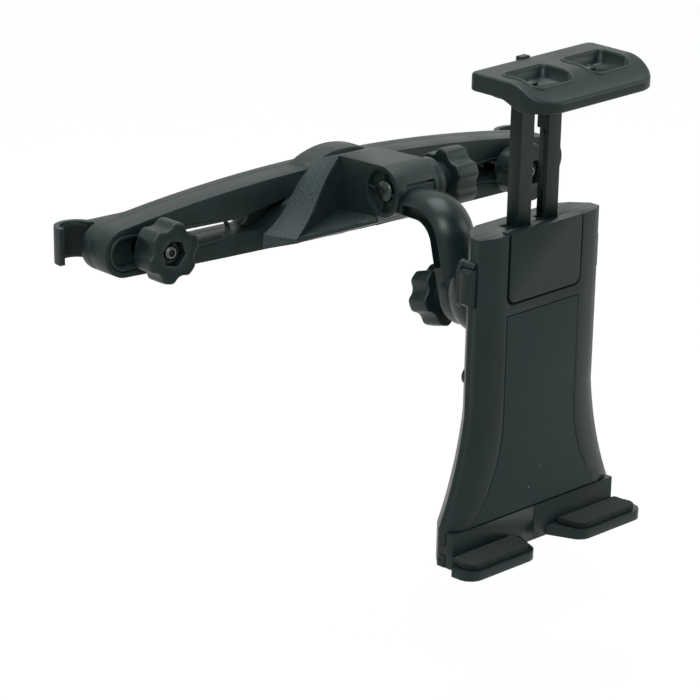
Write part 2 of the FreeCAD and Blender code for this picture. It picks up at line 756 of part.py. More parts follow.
def hinge_pieces():
    collar_x = HOOD_HALF + SHELL_GAP
    hub_x = collar_x + COLLAR_WIDTH + PLAY
    axis = Vector(0, HINGE_Y, HINGE_Z)
    collar = ring(COLLAR_RADIUS, HINGE_BOLT_RADIUS + SCREW_PLAY, axis + X_DIR * collar_x, X_DIR,
                  COLLAR_WIDTH)
    knob = star_knob(SWIVEL_HUB_RADIUS, HINGE_HUB_LENGTH, HINGE_BOLT_RADIUS + SCREW_PLAY,
                     HINGE_NUT_FLATS + SCREW_PLAY)
    pocket_x = hub_x + HINGE_HUB_LENGTH + KNOB_THICK - KNOB_POCKET_DEPTH
    nut = knob_nut(HINGE_BOLT_RADIUS + THREAD_PLAY, HINGE_NUT_FLATS, HINGE_NUT_THICK)
    head_x = -HOOD_HALF + END_RECESS_DEPTH
    dome_radius = (HINGE_HEAD_RADIUS ** 2 + HINGE_HEAD_HEIGHT ** 2) / (2 * HINGE_HEAD_HEIGHT)
    cap = ball(dome_radius, axis + X_DIR * (head_x - HINGE_HEAD_HEIGHT + dome_radius))
    head = cap.common(rod(HINGE_HEAD_RADIUS, axis + X_DIR * (head_x - HINGE_HEAD_HEIGHT), X_DIR,
                          HINGE_HEAD_HEIGHT))
    shank = rod(HINGE_BOLT_RADIUS, axis + X_DIR * head_x, X_DIR,
                pocket_x + HINGE_NUT_THICK + HINGE_BOLT_PROUD - head_x)
    save("hinge_bolt", head.fuse(shank))
    save("hinge_collar", collar)
    save("hinge_knob", stood(knob, axis + X_DIR * hub_x, X_DIR, HINGE_KNOB_TURN))
    save("hinge_nut", stood(nut, axis + X_DIR * pocket_x, X_DIR, HINGE_KNOB_TURN))


# Arm

def arm_outline(x, inner_gap, outer_gap, start_y, end_s):
    # Follows the eye's level run, the bend and the straight run to the cup
    bend = Vector(x, BEND_Y, BEND_Z)
    r_in = BEND_RADIUS + inner_gap
    r_out = BEND_RADIUS + ARM_THICK - outer_gap
    mid = (Z_DIR - BACK_DIR).normalize()
    in_top = bend + Z_DIR * r_in
    in_end = bend - BACK_DIR * r_in
    out_top = bend + Z_DIR * r_out
    out_end = bend - BACK_DIR * r_out
    run = DOWN_DIR * end_s
    in_start = Vector(x, start_y, in_top.z)
    out_start = Vector(x, start_y, out_top.z)
    return [
        line(in_start, in_top),
        arc(in_top, bend + mid * r_in, in_end),
        line(in_end, in_end + run),
        line(in_end + run, out_end + run),
        line(out_end + run, out_end),
        arc(out_end, bend + mid * r_out, out_top),
        line(out_top, out_start),
        line(out_start, in_start),
    ]


def arm_run():
    # Length of the straight run from the bend down to the cup's axis
    bend = Vector(0, BEND_Y, BEND_Z)
    return (DOME_CENTRE - bend).dot(DOWN_DIR)


def arm():
    swing = HOOD_RADIUS + PLAY
    strap = solid_from(arm_outline(-ARM_HALF, 0, 0, HINGE_Y - 6, arm_run()),
                       Vector(2 * ARM_HALF, 0, 0))
    outer = [edge for edge in strap.Edges
             if edge.BoundBox.XLength < 0.01 and on_outer_run(edge)]
    strap = strap.makeFillet(ARM_CROWN, outer)
    for x0 in (-ARM_HALF, ARM_HALF - ARM_POCKET_DEPTH):
        groove = solid_from(
            arm_outline(x0, ARM_POCKET_MARGIN, ARM_THICK - ARM_POCKET_MARGIN - ARM_POCKET_WIDTH,
                        HINGE_Y - swing - ARM_POCKET_START,
                        arm_run() - CUP_RADIUS - ARM_POCKET_END),
            Vector(ARM_POCKET_DEPTH, 0, 0))
        strap = strap.cut(groove)
    eye_length = EYE_LEFT + EYE_RIGHT
    eye_start = Vector(-EYE_LEFT, HINGE_Y, HINGE_Z)
    strap = strap.cut([
        rod(swing, Vector(-2 * ARM_HALF, HINGE_Y, HINGE_Z), X_DIR, 2 * ARM_HALF - EYE_LEFT),
        rod(swing, Vector(EYE_RIGHT, HINGE_Y, HINGE_Z), X_DIR, ARM_HALF),
    ])
    eye = rod(HOOD_RADIUS - HOOD_WALL - PLAY, eye_start, X_DIR, eye_length)
    cup_front = DOME_CENTRE + BACK_DIR * (BEND_RADIUS + 1)
    cup = rod(CUP_RADIUS, cup_front, BACK_DIR, CUP_SHOULDER - BEND_RADIUS - 1)
    cone = Part.makeCone(CUP_RADIUS, CUP_BACK_RADIUS, CUP_BACK - CUP_SHOULDER,
                         DOME_CENTRE + BACK_DIR * CUP_SHOULDER, BACK_DIR)
    body = strap.fuse([eye, cup, cone])
    return body.cut([
        ball(DOME_RADIUS + PLAY, DOME_CENTRE),
        rod(HINGE_BOLT_RADIUS + SCREW_PLAY, eye_start, X_DIR, eye_length),
        rod(BOLT_RADIUS, DOME_CENTRE, BACK_DIR, 2 * CUP_BACK),
    ])


def on_outer_run(edge):
    bend = Vector(0, BEND_Y, BEND_Z)
    middle = edge.valueAt((edge.FirstParameter + edge.LastParameter) / 2)
    offset = Vector(0, middle.y, middle.z) - bend
    outer = BEND_RADIUS + ARM_THICK
    level = abs(offset.z - outer) < 0.05
    straight = abs(offset.dot(BACK_DIR) + outer) < 0.05
    return level or straight or abs(offset.Length - outer) < 0.05


# Ball joint

def shell_cap(outer, inner, half_angle, hole, axis):
    # Spherical cap about the dome's centre, open round the given axis
    reach = outer * math.sin(math.radians(half_angle))
    start = outer * math.cos(math.radians(half_angle))
    cap = ball(outer, Vector(0, 0, 0)).cut(ball(inner, Vector(0, 0, 0)))
    cap = cap.common(Part.makeCylinder(reach, outer, Vector(0, 0, start), Z_DIR))
    cap = cap.cut(rod(hole, Vector(0, 0, 0), Z_DIR, outer + 1))
    return stood(cap, DOME_CENTRE, axis)


def hole_for(radius, swing_deg):
    return BOLT_RADIUS + PLAY + radius * math.sin(math.radians(swing_deg))


def dome_axis():
    return HOLDER_TURN.multVec(Y_DIR)


def swivel_dome():
    centre = Vector(0, DOME_LOCAL_Y, DOME_LOCAL_Z)
    floor = HOLDER_DEPTH - SHELL_WALL
    flange = math.sqrt(DOME_RADIUS ** 2 - (DOME_LOCAL_Y - HOLDER_DEPTH) ** 2)
    body = ball(DOME_RADIUS, centre)
    body = body.cut(box(-30, 30, -30, HOLDER_DEPTH, DOME_LOCAL_Z - 30, DOME_LOCAL_Z + 30))
    neck = rod(flange, Vector(0, floor, DOME_LOCAL_Z), Y_DIR, SHELL_WALL)
    bore = rod(flange - DOME_WALL, Vector(0, floor, DOME_LOCAL_Z), Y_DIR, SHELL_WALL + 0.01)
    hollow = ball(DOME_RADIUS - DOME_WALL, centre)
    hole = rod(hole_for(DOME_RADIUS, DOME_TILT_MAX), centre, Y_DIR, 2 * DOME_RADIUS)
    return body.fuse(neck).cut([hollow, bore, hole])


def swivel_pieces():
    outer = DOME_RADIUS - DOME_WALL - PLAY
    middle = outer - PLATE_THICK - PLAY
    inner = middle - PLATE_THICK - PLAY
    save("swivel_outer_plate", shell_cap(outer, outer - PLATE_THICK, PLATE_HALF_ANGLE,
                                         hole_for(outer, DOME_TILT_MAX), dome_axis()))
    save("swivel_inner_plate", shell_cap(middle, middle - PLATE_THICK, PLATE_HALF_ANGLE,
                                         hole_for(middle, DOME_TILT_MAX - 2), tilt_axis_zero()))
    seat = ball(inner, DOME_CENTRE).common(
        rod(inner * math.sin(math.radians(WASHER_HALF_ANGLE)), DOME_CENTRE + BACK_DIR * BOLT_SEAT,
            BACK_DIR, inner))
    save("swivel_washer", seat.cut(rod(BOLT_RADIUS, DOME_CENTRE, BACK_DIR, DOME_RADIUS)))
    hub = CUP_BACK + PLAY
    face = hub + SWIVEL_HUB_LENGTH + KNOB_THICK
    head = BOLT_SEAT - BOLT_HEAD_THICK
    save("swivel_bolt", bolt(DOME_CENTRE + BACK_DIR * head, BACK_DIR, face - BOLT_END_SUNK - head))
    knob = star_knob(SWIVEL_HUB_RADIUS, SWIVEL_HUB_LENGTH, BOLT_RADIUS + SCREW_PLAY,
                     NUT_FLATS + SCREW_PLAY)
    nut = knob_nut(BOLT_RADIUS + THREAD_PLAY, NUT_FLATS, NUT_THICK)
    save("swivel_knob", stood(knob, DOME_CENTRE + BACK_DIR * hub, BACK_DIR, SWIVEL_KNOB_TURN))
    save("swivel_nut", stood(nut, DOME_CENTRE + BACK_DIR * (face - KNOB_POCKET_DEPTH), BACK_DIR,
                             SWIVEL_KNOB_TURN))


def tilt_axis_zero():
    # The dome's axis with the sideways turn taken out: only the tilt is left
    return Rotation(X_DIR, HOLDER_PITCH).multVec(Y_DIR)


# Holder

def holder_wire(y, inset, trim):
    top_x = HOLDER_HALF_TOP - inset
    mid_x = HOLDER_FLARE_MID_X - inset
    foot_x = HOLDER_HALF_FOOT - inset
    top_z = HOLDER_HEIGHT - trim
    step_z = FOOT_HEIGHT + PLAY
    low_z = trim
    p = {}
    for s in (-1, 1):
        p[s] = [
            Vector(s * top_x, y, top_z), Vector(s * top_x, y, HOLDER_FLARE_Z),
            Vector(s * mid_x, y, HOLDER_FLARE_MID_Z), Vector(s * foot_x, y, step_z),
            Vector(s * foot_x, y, low_z),
        ]
    a, b = p[-1], p[1]
    edges = [
        line(a[0], b[0]), line(b[0], b[1]), arc(b[1], b[2], b[3]), line(b[3], b[4]),
        line(b[4], a[4]), line(a[4], a[3]), arc(a[3], a[2], a[1]), line(a[1], a[0]),
    ]
    return Part.Wire(edges)


def holder_loft(sections, trim):
    return Part.makeLoft([holder_wire(y, inset, trim) for y, inset in sections], True, True)


def holder_form():
    back_y = HOLDER_DEPTH - BACK_BEVEL_FRONT
    return holder_loft([
        (0, FRONT_BEVEL_IN),
        (FRONT_BEVEL_BACK * 0.3, FRONT_BEVEL_IN * 0.45),
        (FRONT_BEVEL_BACK, 0),
        (back_y, 0),
        (HOLDER_DEPTH - BACK_BEVEL_FRONT * 0.35, BACK_BEVEL_IN * 0.45),
        (HOLDER_DEPTH, BACK_BEVEL_IN),
    ], 0)


def holder_cavity():
    back_y = HOLDER_DEPTH - BACK_BEVEL_FRONT
    cavity = holder_loft([
        (FRONT_WALL, FRONT_BEVEL_IN + SHELL_WALL),
        (FRONT_BEVEL_BACK + SHELL_WALL * 0.6, SHELL_WALL * 1.2),
        (back_y - SHELL_WALL * 0.4, SHELL_WALL * 1.2),
        (HOLDER_DEPTH - BACK_BEVEL_FRONT * 0.35 - SHELL_WALL * 1.2, BACK_BEVEL_IN * 0.5),
        (HOLDER_DEPTH - SHELL_WALL, BACK_BEVEL_IN + SHELL_WALL),
    ], SHELL_WALL)
    half = HOLDER_HALF_FOOT + 1
    return cavity.cut(box(-half, half, -1, HOLDER_DEPTH + 1, 0, FOOT_HEIGHT + PLAY + SHELL_WALL))


def rounded_panel(half, foot, top, y0, y1, corner):
    k = corner * (1 - math.sqrt(0.5))
    edges = [line(Vector(-half, y0, top), Vector(half, y0, top)),
             line(Vector(-half + corner, y0, foot), Vector(half - corner, y0, foot))]
    for s in (-1, 1):
        edges.append(line(Vector(s * half, y0, top), Vector(s * half, y0, foot + corner)))
        edges.append(arc(Vector(s * half, y0, foot + corner), Vector(s * (half - k), y0, foot + k),
                         Vector(s * (half - corner), y0, foot)))
    return solid_from(edges, Vector(0, y1 - y0, 0))


def upper_cover():
    half = COVER_HALF - COVER_GROOVE
    front = rounded_panel(half, COVER_FOOT + COVER_GROOVE, HOLDER_HEIGHT + COVER_PROUD,
                          -COVER_PROUD, COVER_THICK - COVER_PROUD, COVER_CORNER)
    roof = box(-half, half, -COVER_PROUD, BAR_FRONT_Y - PLAY - SHELL_GAP,
               HOLDER_HEIGHT - COVER_THICK + COVER_PROUD, HOLDER_HEIGHT + COVER_PROUD)
    return front.fuse(roof)


def cover_seat():
    front = rounded_panel(COVER_HALF, COVER_FOOT, HOLDER_HEIGHT + 1, -1,
                          COVER_THICK - COVER_PROUD, COVER_CORNER)
    roof = box(-COVER_HALF, COVER_HALF, -1, BAR_FRONT_Y - PLAY,
               HOLDER_HEIGHT - COVER_THICK + COVER_PROUD, HOLDER_HEIGHT + 1)
    return front.fuse(roof)


def pad_form(y0, y1, grow):
    foot = FOOT_HEIGHT + PLAY + COVER_GROOVE - grow
    half = PAD_HALF_TOP + grow
    edges = [line(Vector(-half, y0, PAD_TOP + grow), Vector(half, y0, PAD_TOP + grow)),
             line(Vector(-PAD_FOOT_X - grow, y0, foot), Vector(PAD_FOOT_X + grow, y0, foot))]
    for s in (-1, 1):
        top = Vector(s * half, y0, PAD_TOP + grow)
        waist = Vector(s * (PAD_WAIST_X + grow), y0, PAD_WAIST_Z)
        bell = Vector(s * (PAD_BELL_X + grow), y0, PAD_BELL_Z)
        corner = Vector(s * (PAD_FOOT_X + grow), y0, foot)
        edges.append(line(top, waist))
        edges.append(arc(waist, bell, corner))
    return solid_from(edges, Vector(0, y1 - y0, 0))


def bar_box(s, grow, y_grow, z0, z1):
    inner = BAR_INNER_X - grow
    outer = BAR_INNER_X + BAR_WIDTH + grow
    low, high = sorted((s * inner, s * outer))
    return box(low, high, BAR_FRONT_Y - y_grow, BAR_FRONT_Y + BAR_DEPTH + y_grow, z0, z1)


def rail_form(x0, x1, grow):
    neck = RAIL_NECK / 2 + grow
    head = RAIL_HEAD / 2 + grow
    wall = FOOT_WALL - grow
    step = FOOT_WALL + RAIL_NECK_DEPTH - grow
    neck_box = box(x0, x1, wall, step + grow, RAIL_Z - neck, RAIL_Z + neck)
    head_box = box(x0, x1, step, FOOT_WALL + RAIL_NECK_DEPTH + RAIL_HEAD_DEPTH + grow,
                   RAIL_Z - head, RAIL_Z + head)
    return neck_box.fuse(head_box)


def button_window(s):
    low, high = sorted((s * (HOLDER_HALF_TOP - 6.5), s * (HOLDER_HALF_TOP + 5)))
    return box(low, high, BUTTON_FRONT_Y - PLAY, BUTTON_BACK_Y + PLAY,
               BUTTON_FOOT - PLAY, BUTTON_FOOT + BUTTON_HEIGHT + PLAY)


def holder_screw_places():
    return [(x, z) for x in (-HOLDER_SCREW_X, HOLDER_SCREW_X)
            for z in (HOLDER_SCREW_LOW, HOLDER_SCREW_HIGH)]


def holder_common_cuts():
    half = HOLDER_HALF_FOOT + 2
    cuts = [rail_form(-half, half, PLAY),
            box(-half, half, -1, FOOT_WALL + PLAY, -1, FOOT_HEIGHT + PLAY)]
    for s in (-1, 1):
        cuts.append(button_window(s))
        cuts.append(bar_box(s, PLAY, PLAY, HOLDER_HEIGHT - 8, HOLDER_HEIGHT + 1))
    return cuts


def holder_front_zone():
    # The front shell also owns the whole block that carries the foot rail
    reach = HOLDER_HALF_FOOT + 5
    front = box(-reach, reach, -1, PARTING_Y, -1, HOLDER_HEIGHT + 1)
    block = box(-reach, reach, -1, HOLDER_DEPTH + 1, -1, FOOT_HEIGHT + PLAY + SHELL_WALL)
    return front.fuse(block)


def holder_hollow():
    return holder_form().cut(holder_cavity())


def holder_front_shell():
    body = holder_hollow().common(holder_front_zone())
    reach = HOLDER_HALF_TOP - SHELL_WALL - 0.5
    guide = box(-reach / 2, reach / 2, FRONT_WALL - 0.5, BAR_FRONT_Y + BAR_DEPTH + 1.5,
                GUIDE_Z, GUIDE_Z + GUIDE_THICK)
    parts = [guide]
    cuts = holder_common_cuts() + [cover_seat(), pad_form(-1, PAD_THICK - PAD_PROUD, COVER_GROOVE)]
    mid = BUTTON_FOOT + BUTTON_HEIGHT / 2
    post_x = LEG_X - 2 * SPRING_RADIUS - 2 * SHELL_GAP - SPRING_POST
    for s in (-1, 1):
        cuts.append(bar_box(s, PLAY, PLAY, GUIDE_Z - 1, GUIDE_Z + GUIDE_THICK + 1))
        low, high = sorted((s * post_x, s * (post_x + SPRING_POST)))
        parts.append(box(low, high, FRONT_WALL - 0.5, SPRING_FRONT_Y + SPRING_HEIGHT,
                         mid - SHOE_HEIGHT / 2, mid + SHOE_HEIGHT / 2))
    for x, z in holder_screw_places():
        parts.append(rod(BOSS_RADIUS, Vector(x, FRONT_WALL - 0.5, z), Y_DIR,
                         HOLDER_SCREW_Y - SHELL_WALL - FRONT_WALL + 0.5 - SHELL_GAP))
        cuts.append(rod(SCREW_RADIUS, Vector(x, HOLDER_SCREW_Y, z), -Y_DIR, SCREW_LENGTH))
    return carve(body.fuse(parts), cuts)


def holder_back_shell():
    body = holder_hollow().cut(holder_front_zone())
    flange = math.sqrt(DOME_RADIUS ** 2 - (DOME_LOCAL_Y - HOLDER_DEPTH) ** 2)
    cuts = holder_common_cuts()
    cuts.append(rod(flange, Vector(0, 0, DOME_LOCAL_Z), Y_DIR, HOLDER_DEPTH + 1))
    parts = []
    for x, z in holder_screw_places():
        top = Vector(x, HOLDER_SCREW_Y + SCREW_HEAD_THICK, z)
        parts.append(rod(BOSS_RADIUS + 0.6, top, -Y_DIR, SCREW_HEAD_THICK + SHELL_WALL))
        cuts.append(rod(SCREW_HEAD_RADIUS + SCREW_PLAY, Vector(x, HOLDER_SCREW_Y, z), Y_DIR,
                        HOLDER_SCREW_INSET + 1))
        cuts.append(rod(SCREW_RADIUS + SHELL_GAP, Vector(x, HOLDER_SCREW_Y, z), -Y_DIR,
                        SHELL_WALL + 1))
    return carve(body.fuse(parts), cuts)


def holder_screw(x, z):
    top = Vector(x, HOLDER_SCREW_Y, z)
    head = rod(SCREW_HEAD_RADIUS, top, Y_DIR, SCREW_HEAD_THICK)
    return head.fuse(rod(SCREW_RADIUS, top, -Y_DIR, SCREW_LENGTH))


# Jaw

def jaw_profile(x):
    front, top = JAW_FRONT_Y, JAW_TOP
    lip_back = front + JAW_LIP_WALL
    slant = JAW_ROLL * (1 - math.sqrt(0.5))
    nook = JAW_EDGE * (1 - math.sqrt(0.5))
    p = [
        Vector(x, JAW_BACK_Y - JAW_EDGE, top), Vector(x, front + JAW_ROLL, top),
        Vector(x, front + slant, top - slant * JAW_ROLL_HEIGHT / JAW_ROLL),
        Vector(x, front, top - JAW_ROLL_HEIGHT),
        Vector(x, front, JAW_LIP_Z + JAW_EDGE), Vector(x, front + JAW_EDGE, JAW_LIP_Z),
        Vector(x, lip_back, JAW_LIP_Z), Vector(x, lip_back, JAW_UNDER - JAW_LIP_NECK),
        Vector(x, lip_back + JAW_LIP_NECK * (1 - math.sqrt(0.5)),
               JAW_UNDER - JAW_LIP_NECK * (1 - math.sqrt(0.5))),
        Vector(x, lip_back + JAW_LIP_NECK, JAW_UNDER), Vector(x, JAW_BACK_Y, JAW_UNDER),
        Vector(x, JAW_BACK_Y, top - JAW_EDGE), Vector(x, JAW_BACK_Y - nook, top - nook),
    ]
    return [
        line(p[0], p[1]), arc(p[1], p[2], p[3]), line(p[3], p[4]), line(p[4], p[5]),
        line(p[5], p[6]), line(p[6], p[7]), arc(p[7], p[8], p[9]), line(p[9], p[10]),
        line(p[10], p[11]), arc(p[11], p[12], p[0]),
    ]


def jaw_plan():
    front, back = JAW_FRONT_Y, JAW_BACK_Y
    outline = rounded([
        (-JAW_HALF, front, JAW_CORNER), (JAW_HALF, front, JAW_CORNER),
        (JAW_HALF, back, JAW_BACK_CORNER), (-JAW_HALF, back, JAW_BACK_CORNER),
    ], JAW_LIP_Z - 1)
    return solid_from(outline, Vector(0, 0, JAW_TOP - JAW_LIP_Z + 2))


def jaw_pocket(s):
    # A six-sided well whose rim is opened out by a slope
    hx, hy = JAW_POCKET_HALF_X, JAW_POCKET_HALF_Y
    shape = [(0.63, 1.0), (-0.63, 1.0), (-1.08, -0.06), (-0.5, -1.0), (0.53, -1.0), (1.03, -0.5)]

    def outline(grow, z):
        wide, deep = hx + grow, hy + grow
        points = [(s * (JAW_POCKET_X + wide * px), JAW_POCKET_Y + deep * py, JAW_POCKET_CORNER)
                  for px, py in shape]
        return rounded(points, z)

    well = solid_from(outline(0.0, JAW_TOP - JAW_POCKET_DEPTH), Vector(0, 0, JAW_POCKET_DEPTH + 1))
    slope = Part.makeLoft([
        Part.Wire(outline(0.0, JAW_TOP - JAW_POCKET_RIM)),
        Part.Wire(outline(2 * JAW_POCKET_RIM, JAW_TOP + JAW_POCKET_RIM)),
    ], True, True)
    return well.fuse(slope)


def tongue(s, grow):
    low, high = sorted((s * (BAR_INNER_X - grow), s * (JAW_POCKET_X + TONGUE_WIDTH / 2 + grow)))
    return box(low, high, JAW_SCREW_Y - TONGUE_REACH / 2 - grow, BAR_FRONT_Y + BAR_DEPTH + grow,
               JAW_UNDER, JAW_UNDER + TONGUE_THICK + grow)


def jaw():
    body = solid_from(jaw_profile(-JAW_HALF), Vector(2 * JAW_HALF, 0, 0)).common(jaw_plan())
    tab = box(-JAW_TAB_HALF, JAW_TAB_HALF, JAW_BACK_Y - 1, JAW_BACK_Y + JAW_TAB_REACH,
              JAW_UNDER, JAW_TOP - JAW_TAB_DROP)
    cuts = []
    for s in (-1, 1):
        cuts.append(jaw_pocket(s))
        cuts.append(tongue(s, 0.0))
        cuts.append(rod(SCREW_RADIUS + SHELL_GAP, Vector(s * JAW_POCKET_X, JAW_SCREW_Y, JAW_TOP),
                        -Z_DIR, JAW_THICK))
    return body.fuse(tab).cut(cuts)


def jaw_bar(s):
    # Plain in front, with a rack cut into its inner side behind the front lip
    body = bar_box(s, 0, 0, BAR_FOOT, JAW_UNDER + TONGUE_THICK).fuse(tongue(s, 0))
    low, high = sorted((s * (BAR_INNER_X - 1), s * RACK_CREST))
    front, back = BAR_FRONT_Y + RACK_LIP, BAR_FRONT_Y + BAR_DEPTH + 1
    foot, top = BAR_FOOT + RACK_FOOT, JAW_TOP - RACK_DROP
    cuts = [box(low, high, front, back, foot, top)]
    half = RACK_PITCH / 3
    for i in range(int((top - foot) / RACK_PITCH)):
        z = foot + RACK_PITCH * (i + 0.5)
        points = [Vector(s * RACK_CREST, front, z - half),
                  Vector(s * (RACK_CREST + RACK_DEPTH), front, z),
                  Vector(s * RACK_CREST, front, z + half)]
        cuts.append(prism(points, Vector(0, back - front, 0)))
    cuts.append(rod(SCREW_RADIUS, Vector(s * JAW_POCKET_X, JAW_SCREW_Y, JAW_TOP), -Z_DIR,
                    2 * JAW_THICK))
    return body.cut(cuts)


def jaw_screw(s):
    top = Vector(s * JAW_POCKET_X, JAW_SCREW_Y, JAW_TOP - JAW_POCKET_DEPTH)
    length = JAW_THICK - JAW_POCKET_DEPTH
    return rod(SCREW_HEAD_RADIUS, top, Z_DIR, SCREW_HEAD_THICK).fuse(
        rod(SCREW_RADIUS, top, -Z_DIR, length))


def jaw_pad():
    front = JAW_FRONT_Y + JAW_LIP_WALL + JAW_PAD_INSET
    return box(-JAW_PAD_HALF, JAW_PAD_HALF, front, BAR_FRONT_Y - JAW_PAD_BACK,
               JAW_UNDER - JAW_PAD_THICK, JAW_UNDER)


# Release buttons

def release_button(s):
    outer = HOLDER_HALF_TOP + BUTTON_PROUD
    inner = outer - BUTTON_CAP
    z0, z1 = BUTTON_FOOT, BUTTON_FOOT + BUTTON_HEIGHT
    b = BUTTON_BEVEL
    outline = [(inner, z0), (outer - b, z0), (outer, z0 + b), (outer, z1 - b), (outer - b, z1),
               (inner, z1)]
    cap = prism([Vector(s * x, BUTTON_FRONT_Y, z) for x, z in outline],
                Vector(0, BUTTON_BACK_Y - BUTTON_FRONT_Y, 0))
    lean = [(outer + 1, BUTTON_FRONT_Y - 1), (outer + 1, BUTTON_FRONT_Y + BUTTON_LEAN),
            (outer, BUTTON_FRONT_Y + BUTTON_LEAN), (HOLDER_HALF_TOP, BUTTON_FRONT_Y),
            (HOLDER_HALF_TOP, BUTTON_FRONT_Y - 1)]
    cap = cap.cut(prism([Vector(s * x, y, z0 - 1) for x, y in lean], Vector(0, 0, z1 - z0 + 2)))
    mid = (z0 + z1) / 2
    low_z, high_z = mid - SHOE_HEIGHT / 2, mid + SHOE_HEIGHT / 2
    link_y = BAR_FRONT_Y + BAR_DEPTH + PLAY
    shoe_x = RACK_CREST - PLAY - SHOE_THICK

    def bit(x0, x1, y0, y1):
        low, high = sorted((s * x0, s * x1))
        return box(low, high, y0, y1, low_z, high_z)

    return cap.fuse([
        bit(LEG_X, inner + 1, STEM_FRONT_Y, STEM_BACK_Y),
        bit(LEG_X, LEG_X + LEG_WIDTH, STEM_FRONT_Y, link_y + LINK_THICK),
        bit(shoe_x, LEG_X + LEG_WIDTH, link_y, link_y + LINK_THICK),
        bit(shoe_x, shoe_x + SHOE_THICK, BAR_FRONT_Y + RACK_LIP + PLAY, link_y + LINK_THICK),
    ])


def button_spring(s):
    mid = BUTTON_FOOT + BUTTON_HEIGHT / 2
    centre = Vector(s * (LEG_X - SHELL_GAP - SPRING_RADIUS), SPRING_FRONT_Y, mid)
    hoop = ring(SPRING_RADIUS, SPRING_RADIUS - SPRING_THICK, centre, Y_DIR, SPRING_HEIGHT)
    gap = box(centre.x - 1, centre.x + 1, 0, 20, mid, mid + 2 * SPRING_RADIUS)
    return hoop.cut(gap)


# Feet

def foot(s):
    x0, x1 = FOOT_SPLIT, HOLDER_HALF_FOOT - FOOT_INSET
    low, high = sorted((s * x0, s * x1))
    wall = box(low, high, 0, FOOT_WALL, 0, FOOT_HEIGHT)
    front = -SHELF_REACH
    shelf = solid_from(rounded([
        (s * SHELF_ROOT_X, 1, 0.1), (s * SHELF_INNER_X, front, SHELF_INNER_CORNER),
        (s * (x1 + SHELF_OUT), front, SHELF_CORNER), (s * (x1 + SHELF_OUT), SHELF_WING_Y, 1.0),
        (s * x1, 0, 0.5), (s * x1, 1, 0.1),
    ], 0), Vector(0, 0, SHELF_THICK))
    low, high = sorted((s * (x0 + RAIL_INNER_INSET), s * x1))
    return wall.fuse([shelf, rail_form(low, high, 0)])


def foot_pad(s):
    x0 = SHELF_INNER_X + FOAM_INSET
    x1 = HOLDER_HALF_FOOT + SHELF_OUT - FOAM_INSET
    front = -SHELF_REACH + FOAM_INSET
    return solid_from(rounded([
        (s * (x0 - FOAM_SPREAD), -FOAM_GAP, 1.0), (s * x0, front, SHELF_INNER_CORNER - FOAM_INSET),
        (s * x1, front, SHELF_CORNER - FOAM_INSET), (s * (x1 - FOAM_TAPER), -FOAM_GAP, 1.0),
    ], SHELF_THICK), Vector(0, 0, FOAM_THICK))


def main():
    os.makedirs("parts", exist_ok=True)
    save("beam_front_shell", beam_front_shell())
    save("beam_back_cover", beam_back_cover())
    for i, (x, z) in enumerate(screw_places()):
        save("beam_screw_%d" % (i + 1), beam_screw(x, z))
    clamp_pieces("left", LEFT_CLAMP_X, False, LEFT_KNOB_TURN)
    clamp_pieces("right", RIGHT_CLAMP_X, True, RIGHT_KNOB_TURN)
    hinge_pieces()
    save("arm", arm())
    swivel_pieces()
    save_on_holder("swivel_dome", swivel_dome())
    save_on_holder("holder_front_shell", holder_front_shell())
    save_on_holder("holder_back_shell", holder_back_shell())
    save_on_holder("upper_cover", upper_cover())
    save_on_holder("front_pad", pad_form(-PAD_PROUD, PAD_THICK - PAD_PROUD, 0))
    for i, (x, z) in enumerate(holder_screw_places()):
        save_on_holder("holder_screw_%d" % (i + 1), holder_screw(x, z))
    save_on_holder("jaw", jaw())
    save_on_holder("jaw_pad", jaw_pad())
    for side, s in (("left", -1), ("right", 1)):
        save_on_holder(side + "_jaw_bar", jaw_bar(s))
        save_on_holder(side + "_jaw_screw", jaw_screw(s))
        save_on_holder(side + "_release_button", release_button(s))
        save_on_holder(side + "_button_spring", button_spring(s))
        save_on_holder(side + "_foot", foot(s))
        save_on_holder(side + "_foot_pad", foot_pad(s))


main()
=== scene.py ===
import math
import json

import bmesh
import bpy
from mathutils import Matrix, Vector, noise

